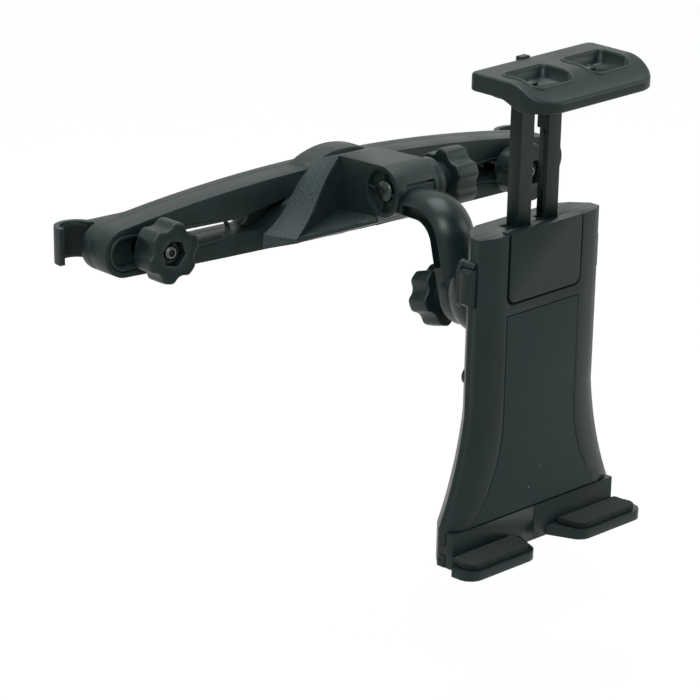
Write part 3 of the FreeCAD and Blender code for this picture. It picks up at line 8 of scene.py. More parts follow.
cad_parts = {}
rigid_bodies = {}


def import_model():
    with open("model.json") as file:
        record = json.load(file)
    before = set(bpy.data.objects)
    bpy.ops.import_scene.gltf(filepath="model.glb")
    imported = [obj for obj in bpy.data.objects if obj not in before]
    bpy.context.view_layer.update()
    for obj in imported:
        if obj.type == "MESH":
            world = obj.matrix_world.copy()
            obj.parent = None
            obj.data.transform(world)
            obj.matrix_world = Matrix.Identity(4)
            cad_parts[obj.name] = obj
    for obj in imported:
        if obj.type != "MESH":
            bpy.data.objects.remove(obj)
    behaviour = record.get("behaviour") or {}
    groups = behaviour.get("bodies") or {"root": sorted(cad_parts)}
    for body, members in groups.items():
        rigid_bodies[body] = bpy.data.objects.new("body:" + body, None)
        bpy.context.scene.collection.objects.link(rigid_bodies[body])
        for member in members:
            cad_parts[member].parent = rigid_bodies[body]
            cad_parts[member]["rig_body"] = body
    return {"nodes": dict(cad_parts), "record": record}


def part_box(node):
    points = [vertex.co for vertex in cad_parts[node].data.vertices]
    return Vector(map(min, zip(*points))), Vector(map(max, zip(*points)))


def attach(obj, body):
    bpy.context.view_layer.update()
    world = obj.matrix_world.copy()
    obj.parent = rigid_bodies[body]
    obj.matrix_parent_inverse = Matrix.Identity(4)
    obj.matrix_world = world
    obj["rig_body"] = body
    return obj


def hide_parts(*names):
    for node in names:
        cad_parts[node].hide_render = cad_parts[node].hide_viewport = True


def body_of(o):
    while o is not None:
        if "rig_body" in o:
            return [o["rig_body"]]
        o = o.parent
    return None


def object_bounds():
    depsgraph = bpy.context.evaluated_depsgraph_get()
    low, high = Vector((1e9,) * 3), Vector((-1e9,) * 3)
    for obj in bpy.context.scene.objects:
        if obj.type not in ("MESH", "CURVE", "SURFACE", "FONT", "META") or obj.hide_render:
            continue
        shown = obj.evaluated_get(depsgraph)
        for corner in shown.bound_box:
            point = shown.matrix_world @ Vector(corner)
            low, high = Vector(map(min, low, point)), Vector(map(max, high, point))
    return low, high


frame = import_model()
CAD_BOX = [list(corner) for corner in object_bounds()]
NODES = frame["nodes"]
PARTS = {part["node"]: part for part in frame["record"]["subparts"]}

# Lengths are millimetres, which MM turns into metres. Only the materials, the lights, the floor
# and the camera's clipping are given in metres
MM = 0.001

# The holder's own frame, turned about the ball's centre

HOLDER_YAW = math.radians(6.3)
HOLDER_PITCH = math.radians(2.0)
DOME_CENTRE = Vector((0.0, -117.7, -21.0))
DOME_LOCAL = Vector((0.0, 29.2, 100.7))
HOLDER_MATRIX = (Matrix.Translation(DOME_CENTRE * MM)
                 @ Matrix.Rotation(HOLDER_YAW, 4, "Z") @ Matrix.Rotation(HOLDER_PITCH, 4, "X")
                 @ Matrix.Translation(-DOME_LOCAL * MM))
HOLDER_UP = HOLDER_MATRIX.to_3x3() @ Vector((0, 0, 1))


def vec(x, y, z):
    return Vector((x, y, z)) * MM


def on_holder(x, y, z):
    return HOLDER_MATRIX @ vec(x, y, z)


# Materials. Scales of noise are per metre, depths of relief are metres

CLOUD_SCALE = 55.0
CLOUD_BAND = (0.3, 0.75)
GLOSS_BAND = (0.25, 0.75)
SPECK_SCALE = 150.0
SPECK_EDGE = (0.030, 0.045)
SPECK_PATCH_SCALE = 31.0
SPECK_PATCH_EDGE = (0.56, 0.58)
FOAM_STAIN_SCALE = 260.0
FOAM_STAIN_BAND = (0.38, 0.68)
PLATING_SCALE = 340.0
PLATING_DARK = 0.72
STREAK_SCALE = 900.0
STREAK_DEPTH = 0.00004


def node_of(tree, kind, **inputs):
    item = tree.nodes.new(kind)
    for name, value in inputs.items():
        item.inputs[name.replace("_", " ")].default_value = value
    return item


def material(name, color, roughness, specular=0.5, metallic=0.0):
    mat = bpy.data.materials.new(name)
    mat.use_nodes = True
    shader = mat.node_tree.nodes["Principled BSDF"]
    shader.inputs["Base Color"].default_value = (*color, 1.0)
    shader.inputs["Roughness"].default_value = roughness
    shader.inputs["Specular IOR Level"].default_value = specular
    shader.inputs["Metallic"].default_value = metallic
    return mat


def drive(mat, socket, source):
    shader = mat.node_tree.nodes["Principled BSDF"]
    mat.node_tree.links.new(source, shader.inputs[socket])


def ramp_between(tree, source, band, first, second):
    ramp = tree.nodes.new("ShaderNodeValToRGB")
    for element, position, color in zip(ramp.color_ramp.elements, band, (first, second)):
        element.position = position
        element.color = (*color, 1.0)
    tree.links.new(source, ramp.inputs["Fac"])
    return ramp.outputs["Color"]


def ranged(tree, source, band, first, second):
    stretch = node_of(tree, "ShaderNodeMapRange", From_Min=band[0], From_Max=band[1],
                      To_Min=first, To_Max=second)
    tree.links.new(source, stretch.inputs["Value"])
    return stretch.outputs["Result"]


def noise_field(tree, scale, detail, rough):
    coords = tree.nodes.new("ShaderNodeTexCoord")
    field = node_of(tree, "ShaderNodeTexNoise", Scale=scale, Detail=detail, Roughness=rough)
    tree.links.new(coords.outputs["Object"], field.inputs["Vector"])
    return field.outputs["Fac"]


def cell_field(tree, scale):
    coords = tree.nodes.new("ShaderNodeTexCoord")
    cells = node_of(tree, "ShaderNodeTexVoronoi", Scale=scale, Randomness=1.0)
    tree.links.new(coords.outputs["Object"], cells.inputs["Vector"])
    return cells.outputs["Distance"]


def bump_of(tree, height, strength, depth):
    bump = node_of(tree, "ShaderNodeBump", Strength=strength, Distance=depth)
    tree.links.new(height, bump.inputs["Height"])
    return bump.outputs["Normal"]


def math_of(tree, operation, first, second):
    item = tree.nodes.new("ShaderNodeMath")
    item.operation = operation
    tree.links.new(first, item.inputs[0])
    tree.links.new(second, item.inputs[1])
    return item


def scaled(color, factor):
    return tuple(channel * factor for channel in color)


def moulded(name, color, roughness, grain, depth, spread=0.06, specular=0.5, mottle=0.18,
            specks=0.0):
    # Moulded plastic: a spark-eroded grain, cloudy gloss and a slow drift of its colour
    mat = material(name, color, roughness, specular)
    tree = mat.node_tree
    fine = noise_field(tree, grain, detail=3.0, rough=0.65)
    slow = noise_field(tree, CLOUD_SCALE, detail=4.0, rough=0.6)
    base = ramp_between(tree, slow, CLOUD_BAND, scaled(color, 1.0 - mottle),
                        scaled(color, 1.0 + mottle))
    if specks:
        base = speckled(tree, base, specks)
    drive(mat, "Base Color", base)
    drive(mat, "Roughness", ranged(tree, slow, GLOSS_BAND, roughness - spread, roughness + spread))
    drive(mat, "Normal", bump_of(tree, fine, strength=1.0, depth=depth))
    return mat


def speckled(tree, base, brightness):
    # A few pale dust specks, each well under a millimetre
    near = ranged(tree, cell_field(tree, SPECK_SCALE), SPECK_EDGE, 1.0, 0.0)
    patch = noise_field(tree, SPECK_PATCH_SCALE, detail=1.0, rough=0.5)
    chosen = ranged(tree, patch, SPECK_PATCH_EDGE, 0.0, 1.0)
    both = math_of(tree, "MULTIPLY", near, chosen)
    mix = tree.nodes.new("ShaderNodeMix")
    mix.data_type = "RGBA"
    mix.inputs[7].default_value = (brightness, brightness, brightness, 1.0)
    tree.links.new(both.outputs["Value"], mix.inputs[0])
    tree.links.new(base, mix.inputs[6])
    return mix.outputs[2]


def foam_material(name, color, warm, cells, depth):
    mat = material(name, color, roughness=0.95, specular=0.15)
    tree = mat.node_tree
    shader = tree.nodes["Principled BSDF"]
    shader.inputs["Sheen Weight"].default_value = 0.06
    shader.inputs["Sheen Roughness"].default_value = 0.5
    stains = noise_field(tree, FOAM_STAIN_SCALE, detail=4.0, rough=0.7)
    drive(mat, "Base Color", ramp_between(tree, stains, FOAM_STAIN_BAND, color, warm))
    drive(mat, "Normal", bump_of(tree, cell_field(tree, cells), strength=0.9, depth=depth))
    return mat


def metal(name, color, roughness):
    # Plated steel with fine turning marks and uneven gloss
    mat = material(name, color, roughness, metallic=1.0)
    tree = mat.node_tree
    slow = noise_field(tree, PLATING_SCALE, detail=4.0, rough=0.6)
    base = ramp_between(tree, slow, CLOUD_BAND, scaled(color, PLATING_DARK), color)
    drive(mat, "Base Color", base)
    drive(mat, "Roughness", ranged(tree, slow, GLOSS_BAND, roughness * 0.7, roughness * 1.4))
    fine = noise_field(tree, STREAK_SCALE, detail=3.0, rough=0.6)
    drive(mat, "Normal", bump_of(tree, fine, strength=0.6, depth=STREAK_DEPTH))
    return mat


GREEN_BLACK = (0.0040, 0.0100, 0.0095)
FINE = 1500.0
COARSE = 900.0
CHARCOAL = moulded("Charcoal", GREEN_BLACK, roughness=0.46, grain=FINE, depth=0.00012,
                   specular=0.28)
GRAINY = moulded("Grainy", scaled(GREEN_BLACK, 1.5), roughness=0.52, grain=COARSE, depth=0.00034,
                 specular=0.40, mottle=0.25)
KNOB = moulded("Knob", GREEN_BLACK, roughness=0.42, grain=FINE, depth=0.00007, specular=0.28)
SATIN = moulded("Satin", GREEN_BLACK, roughness=0.36, grain=FINE, depth=0.00006, specular=0.22,
                specks=0.10)
COVER = moulded("Cover", GREEN_BLACK, roughness=0.42, grain=1300.0, depth=0.00010, specular=0.22)
JAW = moulded("Jaw", GREEN_BLACK, roughness=0.38, grain=FINE, depth=0.00006, specular=0.20)
BAR = moulded("Bar", scaled(GREEN_BLACK, 0.8), roughness=0.36, grain=FINE, depth=0.00006,
              specular=0.16)
GLOSSY = moulded("Glossy", scaled(GREEN_BLACK, 0.9), roughness=0.33, grain=COARSE, depth=0.00002,
                 spread=0.04, specular=0.22)
INLAY = moulded("Inlay", scaled(GREEN_BLACK, 1.2), roughness=0.60, grain=2300.0, depth=0.00012,
                specular=0.24, mottle=0.12, specks=0.30)
WASHER = moulded("Washer", scaled(GREEN_BLACK, 0.9), roughness=0.5, grain=FINE, depth=0.00008,
                 specular=0.28)
RUBBER = moulded("Rubber", (0.007, 0.010, 0.010), roughness=0.82, grain=1900.0, depth=0.00010,
                 spread=0.05, specular=0.15)
# Near-black painted shade, laid as thin sheets where a groove or notch lies in shade
SHADOW = moulded("Shadow", (0.0012, 0.0022, 0.0021), roughness=0.8, grain=COARSE, depth=0.00002,
                 specular=0.05)
FOAM = foam_material("Foam", (0.0045, 0.0085, 0.0080), (0.0095, 0.0115, 0.0105), cells=2400.0,
                     depth=0.00035)
STEEL = metal("Steel", (0.40, 0.41, 0.42), roughness=0.34)
BLACK_STEEL = metal("Black steel", (0.045, 0.05, 0.05), roughness=0.36)
DOMED = metal("Domed head", (0.050, 0.064, 0.062), roughness=0.30)
THREAD = metal("Thread", (0.22, 0.25, 0.25), roughness=0.3)

BY_SLOT = {
    "charcoal_plastic": CHARCOAL, "satin_plastic": SATIN, "glossy_plastic": GLOSSY,
    "matt_pad": INLAY, "washer_plastic": WASHER, "rubber": RUBBER, "foam": FOAM,
    "steel": STEEL, "bright_steel": DOMED, "spring_steel": STEEL,
}
BY_NODE = {
    "upper_cover": COVER, "left_jaw_bar": BAR, "right_jaw_bar": BAR,
    "left_hook_bolt": BLACK_STEEL, "right_hook_bolt": BLACK_STEEL,
    "left_knob_nut": BLACK_STEEL, "right_knob_nut": BLACK_STEEL,
}


def wear(obj, mat):
    obj.data.materials.clear()
    obj.data.materials.append(mat)


for part_name, part in PARTS.items():
    wear(NODES[part_name], BY_NODE.get(part_name, BY_SLOT[part["material_slot"]]))

# The faces of the horn that lean to the side carry a coarser grain than those round them

FACET_X = (8.0, 46.5)
FACET_Y = (-33.5, -22.6)
FACET_LEAN = 0.3
FACET_RISE = 0.15

shell = NODES["beam_front_shell"].data
shell.materials.append(GRAINY)
for poly in shell.polygons:
    x, y = (poly.center / MM).xy
    sideways = abs(poly.normal.x) > FACET_LEAN and abs(poly.normal.z) > FACET_RISE
    leaning = sideways and poly.normal.y < -FACET_LEAN
    if leaning and FACET_Y[0] < y < FACET_Y[1] and FACET_X[0] < abs(x) < FACET_X[1]:
        poly.material_index = 1

# Edges of the moulded pieces are rounded by modifiers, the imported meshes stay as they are

EDGE = {
    "beam_front_shell": 0.35, "beam_back_cover": 0.35, "hinge_collar": 0.5,
    "left_jaw_bar": 0.3, "right_jaw_bar": 0.3, "upper_cover": 0.35, "front_pad": 0.15,
    "holder_front_shell": 0.45, "holder_back_shell": 0.45,
    "left_release_button": 0.4, "right_release_button": 0.4, "left_foot": 0.5, "right_foot": 0.5,
}
SMALL_EDGE = 0.25
EDGE_ANGLE = 28.0
WELD_REACH = 0.01


def welded(obj):
    weld = obj.modifiers.new("weld", "WELD")
    weld.merge_threshold = WELD_REACH * MM


def smooth_faces(obj):
    for face in obj.data.polygons:
        face.use_smooth = True


def soften(obj, width, segments=3, angle=EDGE_ANGLE):
    welded(obj)
    bevel = obj.modifiers.new("bevel", "BEVEL")
    bevel.width = width * MM
    bevel.segments = segments
    bevel.limit_method = "ANGLE"
    bevel.angle_limit = math.radians(angle)
    bevel.harden_normals = True
    bevel.use_clamp_overlap = True
    smooth_faces(obj)
    if obj.data.attributes.get("sharp_face"):
        obj.data.attributes.remove(obj.data.attributes["sharp_face"])


for part_name, obj in NODES.items():
    soften(obj, EDGE.get(part_name, SMALL_EDGE), 3 if part_name in EDGE else 2)

# Soft pieces: each starts from its solid's form, remeshed, rounded and given its cells or ribs

LEFT_POST = 125.7
RIGHT_POST = 118.0
RIB_COUNT = 26
RIB_SINK = 0.1
RIB_RISE = 0.06
FOAM_SINK = 0.08
FOAM_CELL_RISE = 0.09
FOAM_CELL_SCALE = 1400.0
FOAM_PORE_SCALE = 2900.0
FOAM_WAVE_RISE = 0.10
FOAM_WAVE_SCALE = 190.0
HOOK_MIDDLE = -2.1
LINING_SQUEEZE = 0.86


def placed(name, data):
    obj = bpy.data.objects.new(name, data)
    bpy.context.scene.collection.objects.link(obj)
    return obj


def applied(obj):
    graph = bpy.context.evaluated_depsgraph_get()
    mesh = bpy.data.meshes.new_from_object(obj.evaluated_get(graph))
    obj.modifiers.clear()
    old = obj.data
    obj.data = mesh
    bpy.data.meshes.remove(old)


def soft_piece(name, source, mat, relief, voxel, rounds, squeeze=1.0, middle=0.0):
    solid = NODES[source]
    obj = placed(name, solid.data.copy())
    for vertex in obj.data.vertices:
        vertex.co.z = middle * MM + (vertex.co.z - middle * MM) * squeeze
    welded(obj)
    remesh = obj.modifiers.new("remesh", "REMESH")
    remesh.mode = "VOXEL"
    remesh.voxel_size = voxel * MM
    smooth = obj.modifiers.new("smooth", "SMOOTH")
    smooth.factor = 0.5
    smooth.iterations = rounds
    applied(obj)
    normals = [vertex.normal.copy() for vertex in obj.data.vertices]
    for vertex, normal in zip(obj.data.vertices, normals):
        vertex.co += normal * relief(vertex.co) * MM
    smooth_faces(obj)
    wear(obj, mat)
    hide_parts(source)
    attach(obj, body_of(solid)[0])


def foam_relief(point):
    cells = noise.noise(point * FOAM_CELL_SCALE) + 0.5 * noise.noise(point * FOAM_PORE_SCALE)
    wave = noise.noise(point * FOAM_WAVE_SCALE)
    return -FOAM_SINK + FOAM_CELL_RISE * cells + FOAM_WAVE_RISE * wave


def rib_relief(point):
    # Upright ribs that grip the post
    post = -LEFT_POST if point.x < 0 else RIGHT_POST
    angle = math.atan2(point.y, point.x - post * MM)
    return -RIB_SINK + RIB_RISE * math.cos(angle * RIB_COUNT)


soft_piece("left_foot_foam", "left_foot_pad", FOAM, foam_relief, voxel=0.38, rounds=5)
soft_piece("right_foot_foam", "right_foot_pad", FOAM, foam_relief, voxel=0.38, rounds=5)
soft_piece("jaw_foam", "jaw_pad", FOAM, foam_relief, voxel=0.45, rounds=3)
for side_name in ("left", "right"):
    soft_piece(side_name + "_post_rubber", side_name + "_hook_pad", RUBBER, rib_relief, voxel=0.3,
               rounds=3, squeeze=LINING_SQUEEZE, middle=HOOK_MIDDLE)

# Rigid pieces that are rounder than their solids, cut and joined here from plain forms. A turned
# profile keeps CORE away from its axis

CORE = 0.01
MERGE_REACH = 0.001


def mesh_object(name, points, faces):
    mesh = bpy.data.meshes.new(name)
    mesh.from_pydata([Vector(point) for point in points], [], faces)
    form = bmesh.new()
    form.from_mesh(mesh)
    bmesh.ops.remove_doubles(form, verts=form.verts, dist=MERGE_REACH * MM)
    bmesh.ops.dissolve_degenerate(form, edges=form.edges, dist=MERGE_REACH * MM)
    bmesh.ops.recalc_face_normals(form, faces=form.faces)
    form.to_mesh(mesh)
    form.free()
    return placed(name, mesh)


def skin(name, loops, closed=False):
    # A tube through loops of equally many points; its ends are capped unless it closes on itself
    count = len(loops[0])
    points = [point for loop in loops for point in loop]
    faces = []
    rows = len(loops) if closed else len(loops) - 1
    for i in range(rows):
        a, b = i * count, (i + 1) % len(loops) * count
        for k in range(count):
            n = (k + 1) % count
            faces.append((a + k, a + n, b + n, b + k))
    if not closed:
        faces.append(tuple(range(count)))
        faces.append(tuple(reversed(range(len(points) - count, len(points)))))
    return mesh_object(name, points, faces)


def axis_matrix(start, direction, turn=0.0):
    swing = Vector((0, 0, 1)).rotation_difference(Vector(direction)).to_matrix().to_4x4()
    return Matrix.Translation(start) @ swing @ Matrix.Rotation(math.radians(turn), 4, "Z")


def turned(name, profile, start, direction, steps=64):
    # A closed profile of (radius, height) pairs, revolved about its axis
    place = axis_matrix(start, direction)
    loops = []
    for i in range(steps):
        angle = 2 * math.pi * i / steps
        loops.append([place @ vec(r * math.cos(angle), r * math.sin(angle), h)
                      for r, h in profile])
    return skin(name, loops, closed=True)


def tube(name, inner, outer, length, start, direction, steps=64):
    profile = [(inner, 0), (outer, 0), (outer, length), (inner, length)]
    return turned(name, profile, start, direction, steps)


def holder_block(name, low, high):
    corners = ((low[0], low[1]), (high[0], low[1]), (high[0], high[1]), (low[0], high[1]))
    return skin(name, [[on_holder(x, y, z) for x, y in corners] for z in (low[2], high[2])])


def between(start, end, steps):
    return [tuple(a + (b - a) * i / steps for a, b in zip(start, end)) for i in range(1, steps)]


def cut_or_join(obj, other, operation):
    modifier = obj.modifiers.new("bool", "BOOLEAN")
    modifier.operation = operation
    modifier.solver = "EXACT"
    modifier.object = other
    applied(obj)
    bpy.data.objects.remove(other)


def dressed(obj, mat, node, replaced=(), width=0.0, segments=3, angle=EDGE_ANGLE):
    # The piece wears the given material, moves with the node's body and stands for the replaced
    # nodes
    wear(obj, mat)
    if width:
        soften(obj, width, segments, angle)
    else:
        smooth_faces(obj)
    if replaced:
        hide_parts(*replaced)
    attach(obj, body_of(NODES[node])[0])


# The arm: an eye in the hinge, a bow with hollow sides and a cup over the ball

HINGE_Y = -60.9
HINGE_Z = 12.9
HOOD_RADIUS = 11.15
EYE_LEFT = 6.2
EYE_RIGHT = 8.8
EYE_RADIUS = 9.1
EYE_BORE = 2.8
DIP = math.radians(13.5)
BACK_DIR = Vector((0, math.cos(DIP), -math.sin(DIP)))
DOWN_DIR = Vector((0, -math.sin(DIP), -math.cos(DIP)))
BEND = Vector((0, -81.5, -5.0))
BEND_RADIUS = 9.5
ARM_HALF = 10.2
ARM_SIDE = 5.6
ARM_RISE = 5.4
SIDE_FOOT = 0.9
SIDE_TOP = 5.1
SIDE_POCKET = 2.4
FOOT_ROUND = 1.4
DOME_RADIUS = 17.5
CUP_RADIUS = 12.6
CUP_BORE = 3.0
CUP_BACK = [(CUP_RADIUS, 17.6), (12.3, 18.4), (9.9, 21.7), (9.3, 22.0), (CUP_BORE, 22.0)]
PLAY = 0.3

# Sections of the arm's level part as (y, depth of the side pocket), and of its lower part as
# (height above the ball's centre along the arm, depth of the side pocket)
ARM_LEVEL = ((-66.9, 0.0), (-73.4, 0.0), (-73.4, SIDE_POCKET), (-78.5, SIDE_POCKET))
ARM_LOWER = ((16.0, SIDE_POCKET), (13.2, SIDE_POCKET), (13.2, 0.0), (0.0, 0.0))


def arm_section(foot, out, pocket):
    # foot is the middle of the hollow side, out points to the crown
    crown = (ARM_HALF ** 2 + ARM_RISE ** 2) / (2 * ARM_RISE)
    half = math.asin(ARM_HALF / crown)
    side = [(ARM_HALF - FOOT_ROUND, 0.0), (ARM_HALF, FOOT_ROUND / 2), (ARM_HALF, SIDE_FOOT),
            (ARM_HALF - pocket, SIDE_FOOT), (ARM_HALF - pocket, SIDE_TOP), (ARM_HALF, SIDE_TOP)]
    arch = []
    for i in range(25):
        angle = half - 2 * half * i / 24
        arch.append((crown * math.sin(angle), ARM_SIDE + ARM_RISE - crown * (1 - math.cos(angle))))
    section = side + arch + [(-u, v) for u, v in reversed(side)]
    return [(foot + Vector((u, 0, 0)) + out * v) * MM for u, v in section]


def arm_piece():
    up_dir = Vector((0, 0, 1))
    stations = [(Vector((0, y, BEND.z + BEND_RADIUS)), up_dir, pocket) for y, pocket in ARM_LEVEL]
    for i in range(17):
        angle = (math.pi / 2 - DIP) * i / 16
        out = Vector((0, -math.sin(angle), math.cos(angle)))
        stations.append((BEND + out * BEND_RADIUS, out, SIDE_POCKET))
    run = (DOME_CENTRE - BEND).dot(DOWN_DIR)
    for height, pocket in ARM_LOWER:
        foot = BEND - BACK_DIR * BEND_RADIUS + DOWN_DIR * (run - height)
        stations.append((foot, -BACK_DIR, pocket))
    arm = skin("arm_casting", [arm_section(*station) for station in stations])
    for x0, x1 in ((-2 * ARM_HALF, -EYE_LEFT), (EYE_RIGHT, 2 * ARM_HALF)):
        gap = tube("gap", CORE, HOOD_RADIUS + PLAY, x1 - x0, vec(x0, HINGE_Y, HINGE_Z),
                   (1, 0, 0), 96)
        cut_or_join(arm, gap, "DIFFERENCE")
    reach = DOME_RADIUS + PLAY
    hollow = []
    for i in range(13):
        radius = CUP_BORE + (CUP_RADIUS - CUP_BORE) * i / 12
        hollow.append((radius, math.sqrt(reach ** 2 - radius ** 2)))
    cup = turned("cup", hollow + CUP_BACK, DOME_CENTRE * MM, BACK_DIR)
    ball_profile = [(CORE + reach * math.sin(math.pi * i / 40), -reach * math.cos(math.pi * i / 40))
                    for i in range(41)]
    ball = turned("ball", ball_profile, DOME_CENTRE * MM, BACK_DIR, 80)
    cut_or_join(arm, ball, "DIFFERENCE")
    cut_or_join(arm, cup, "UNION")
    dressed(arm, GLOSSY, "arm", ["arm"], width=0.35, angle=34.0)


def eye_piece():
    eye = tube("arm_eye", EYE_BORE, EYE_RADIUS, EYE_LEFT + EYE_RIGHT,
               vec(-EYE_LEFT, HINGE_Y, HINGE_Z), (1, 0, 0))
    dressed(eye, CHARCOAL, "arm", width=0.2, segments=2, angle=40.0)


arm_piece()
eye_piece()

# The arm's shoulder, which fills the hood's mouth up to the room that the arm needs to lift

SHOULDER_RADIUS = 10.9
SHOULDER_INNER = 8.4
SHOULDER_FOOT = -8.0
SHOULDER_TOP = 18.5


def shoulder_piece():
    loops = []
    for x in (-EYE_LEFT, EYE_RIGHT):
        section = []
        for radius, turns in ((SHOULDER_RADIUS, range(13)), (SHOULDER_INNER, range(12, -1, -1))):
            for i in turns:
                angle = math.radians(SHOULDER_FOOT + (SHOULDER_TOP - SHOULDER_FOOT) * i / 12)
                section.append(vec(x, HINGE_Y - radius * math.cos(angle),
                                   HINGE_Z + radius * math.sin(angle)))
        loops.append(section)
    dressed(skin("arm_shoulder", loops), GLOSSY, "arm", width=0.3)


shoulder_piece()

# Star knobs with blunt lobes, shallow hollows and a six-sided pocket

KNOB_STEPS = 144
KNOB_RADIUS = 13.2
KNOB_HOLLOW = 5.4
KNOB_HOLLOW_PLACE = 16.4
KNOB_THICK = 11.5
KNOB_BACK_LIP = 2.2
KNOB_BACK_ROUND = 0.9
KNOB_STRAIGHT_END = 3.0
KNOB_FRONT_ROUND = 1.1
KNOB_FRONT_DRAW = 0.15
KNOB_FRONT_LIP = 2.4
NUT_POCKET_DEPTH = 8.0
NUT_POCKET_FLARE = 0.5
NUT_POCKET_FLARE_DEPTH = 0.35

# A lobe's outline is the mean of this many samples, so that its corners turn round
BLUNT_SAMPLES = 9
BLUNT_STEP = 1.1


def from_sixth(angle):
    return (angle + math.pi / 6) % (math.pi / 3) - math.pi / 6


def star_radius(angle):
    total = 0.0
    for k in range(-(BLUNT_SAMPLES // 2), BLUNT_SAMPLES // 2 + 1):
        away = from_sixth(angle + math.radians(BLUNT_STEP * k))
        side = KNOB_HOLLOW_PLACE * math.sin(away)
        radius = KNOB_RADIUS
        if abs(side) < KNOB_HOLLOW:
            dent = KNOB_HOLLOW_PLACE * math.cos(away) - math.sqrt(KNOB_HOLLOW ** 2 - side ** 2)
            radius = min(KNOB_RADIUS, dent)
        total += radius
    return total / BLUNT_SAMPLES


def knob_piece(name, node, start, direction, turn, hub, hub_length, bore, flats):
    place = axis_matrix(start, direction, turn)
    length = hub_length + KNOB_THICK
    angles = [2 * math.pi * i / KNOB_STEPS for i in range(KNOB_STEPS)]
    rings = []

    def ring(height, radius_at):
        rings.append([place @ vec(radius_at(a) * math.cos(a), radius_at(a) * math.sin(a), height)
                      for a in angles])

    def star_ring(height, inset):
        ring(height, lambda a: star_radius(a) - inset)

    def hexagon(a):
        return flats / 2 / math.cos(math.pi / 6 - abs(from_sixth(a)))

    ring(0.0, lambda a: bore)
    ring(0.0, lambda a: hub)
    ring(hub_length, lambda a: hub)
    star_ring(hub_length, KNOB_BACK_LIP)
    for step in range(6):
        lean = math.pi / 2 * step / 5
        star_ring(hub_length + KNOB_BACK_ROUND * (1 - math.cos(lean)),
                  KNOB_BACK_ROUND * (1 - math.sin(lean)))
    star_ring(length - KNOB_STRAIGHT_END, 0.0)
    for step in range(7):
        lean = math.pi / 2 * step / 6
        star_ring(length - KNOB_FRONT_ROUND * (1 - math.sin(lean)),
                  KNOB_FRONT_DRAW + KNOB_FRONT_ROUND * (1 - math.cos(lean)))
    star_ring(length, KNOB_FRONT_LIP)
    ring(length, lambda a: hexagon(a) + NUT_POCKET_FLARE)
    ring(length - NUT_POCKET_FLARE_DEPTH, hexagon)
    ring(length - NUT_POCKET_DEPTH, hexagon)
    ring(length - NUT_POCKET_DEPTH, lambda a: bore)
    knob = skin(name, rings, closed=True)
    dressed(knob, KNOB, node, [node], width=0.12, segments=2, angle=50.0)


CLAMP_SEAT_Y = -24.5
SLOT_Z = -2.3
LEFT_CLAMP_X = -103.2
RIGHT_CLAMP_X = 95.5
HINGE_KNOB_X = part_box("hinge_knob")[0].x
CLAMP_HUB = 2.4
SWIVEL_HUB = 4.7
SWIVEL_SEAT = 22.3
knob_piece("left_star_knob", "left_knob", vec(LEFT_CLAMP_X, CLAMP_SEAT_Y, SLOT_Z), (0, -1, 0),
           turn=-13.0, hub=8.5, hub_length=CLAMP_HUB, bore=3.3, flats=10.3)
knob_piece("right_star_knob", "right_knob", vec(RIGHT_CLAMP_X, CLAMP_SEAT_Y, SLOT_Z), (0, -1, 0),
           turn=0.0, hub=8.5, hub_length=CLAMP_HUB, bore=3.3, flats=10.3)
knob_piece("hinge_star_knob", "hinge_knob", Vector((HINGE_KNOB_X, HINGE_Y * MM, HINGE_Z * MM)),
           (1, 0, 0), turn=36.0, hub=7.4, hub_length=4.8, bore=2.8, flats=8.3)
knob_piece("swivel_star_knob", "swivel_knob", (DOME_CENTRE + BACK_DIR * SWIVEL_SEAT) * MM, BACK_DIR,
           turn=20.0, hub=7.4, hub_length=SWIVEL_HUB, bore=3.3, flats=10.3)

# The horn's flanks, each one S-curved band that runs down to the beam's lower edge. The two
# sections are drawn on the left as (x, z): foot, top, low edge, and the S-curve's sway

BEAM_FRONT_Y = -22.5
FLANK_PROUD = 0.3
FLANK_THICK = 1.4
FLANK_NEAR = ((-46.0, -8.2), (-14.0, 19.5), (-47.0, -14.5), 1.6)
FLANK_FAR = ((-34.5, -10.3), (-11.0, 22.7), (-34.5, -11.1), 0.8)
FLANK_SINK = 2.0
FLANK_REACH = 12.6


def flank_curve(foot, top, low, sway):
    foot, top, low = Vector(foot), Vector(top), Vector(low)
    run = (top - foot).normalized()
    out = Vector((-run.y, run.x))
    points = [low.lerp(foot, i / 4) for i in range(4)]
    for i in range(25):
        t = i / 24
        points.append(foot.lerp(top, t) + out * (FLANK_PROUD - sway * math.sin(2 * math.pi * t)))
    inner = [point - out * FLANK_THICK for point in reversed(points)]
    return points + inner


def flank_piece(name, side):
    near, far = flank_curve(*FLANK_NEAR), flank_curve(*FLANK_FAR)
    loops = []
    for i in range(9):
        y = BEAM_FRONT_Y + FLANK_SINK - FLANK_REACH * i / 8
        section = [a.lerp(b, i / 8) for a, b in zip(near, far)]
        loops.append([vec(side * point.x, y, point.y) for point in section])
    dressed(skin(name, loops), GRAINY, "beam_front_shell", width=0.2, segments=2, angle=40.0)


flank_piece("left_horn_flank", 1)
flank_piece("right_horn_flank", -1)

# The jaw: a plate with round corners whose front rolls down to a thin lip. A plan is a half
# width, a back, a front, and the radii of the back and the front corners

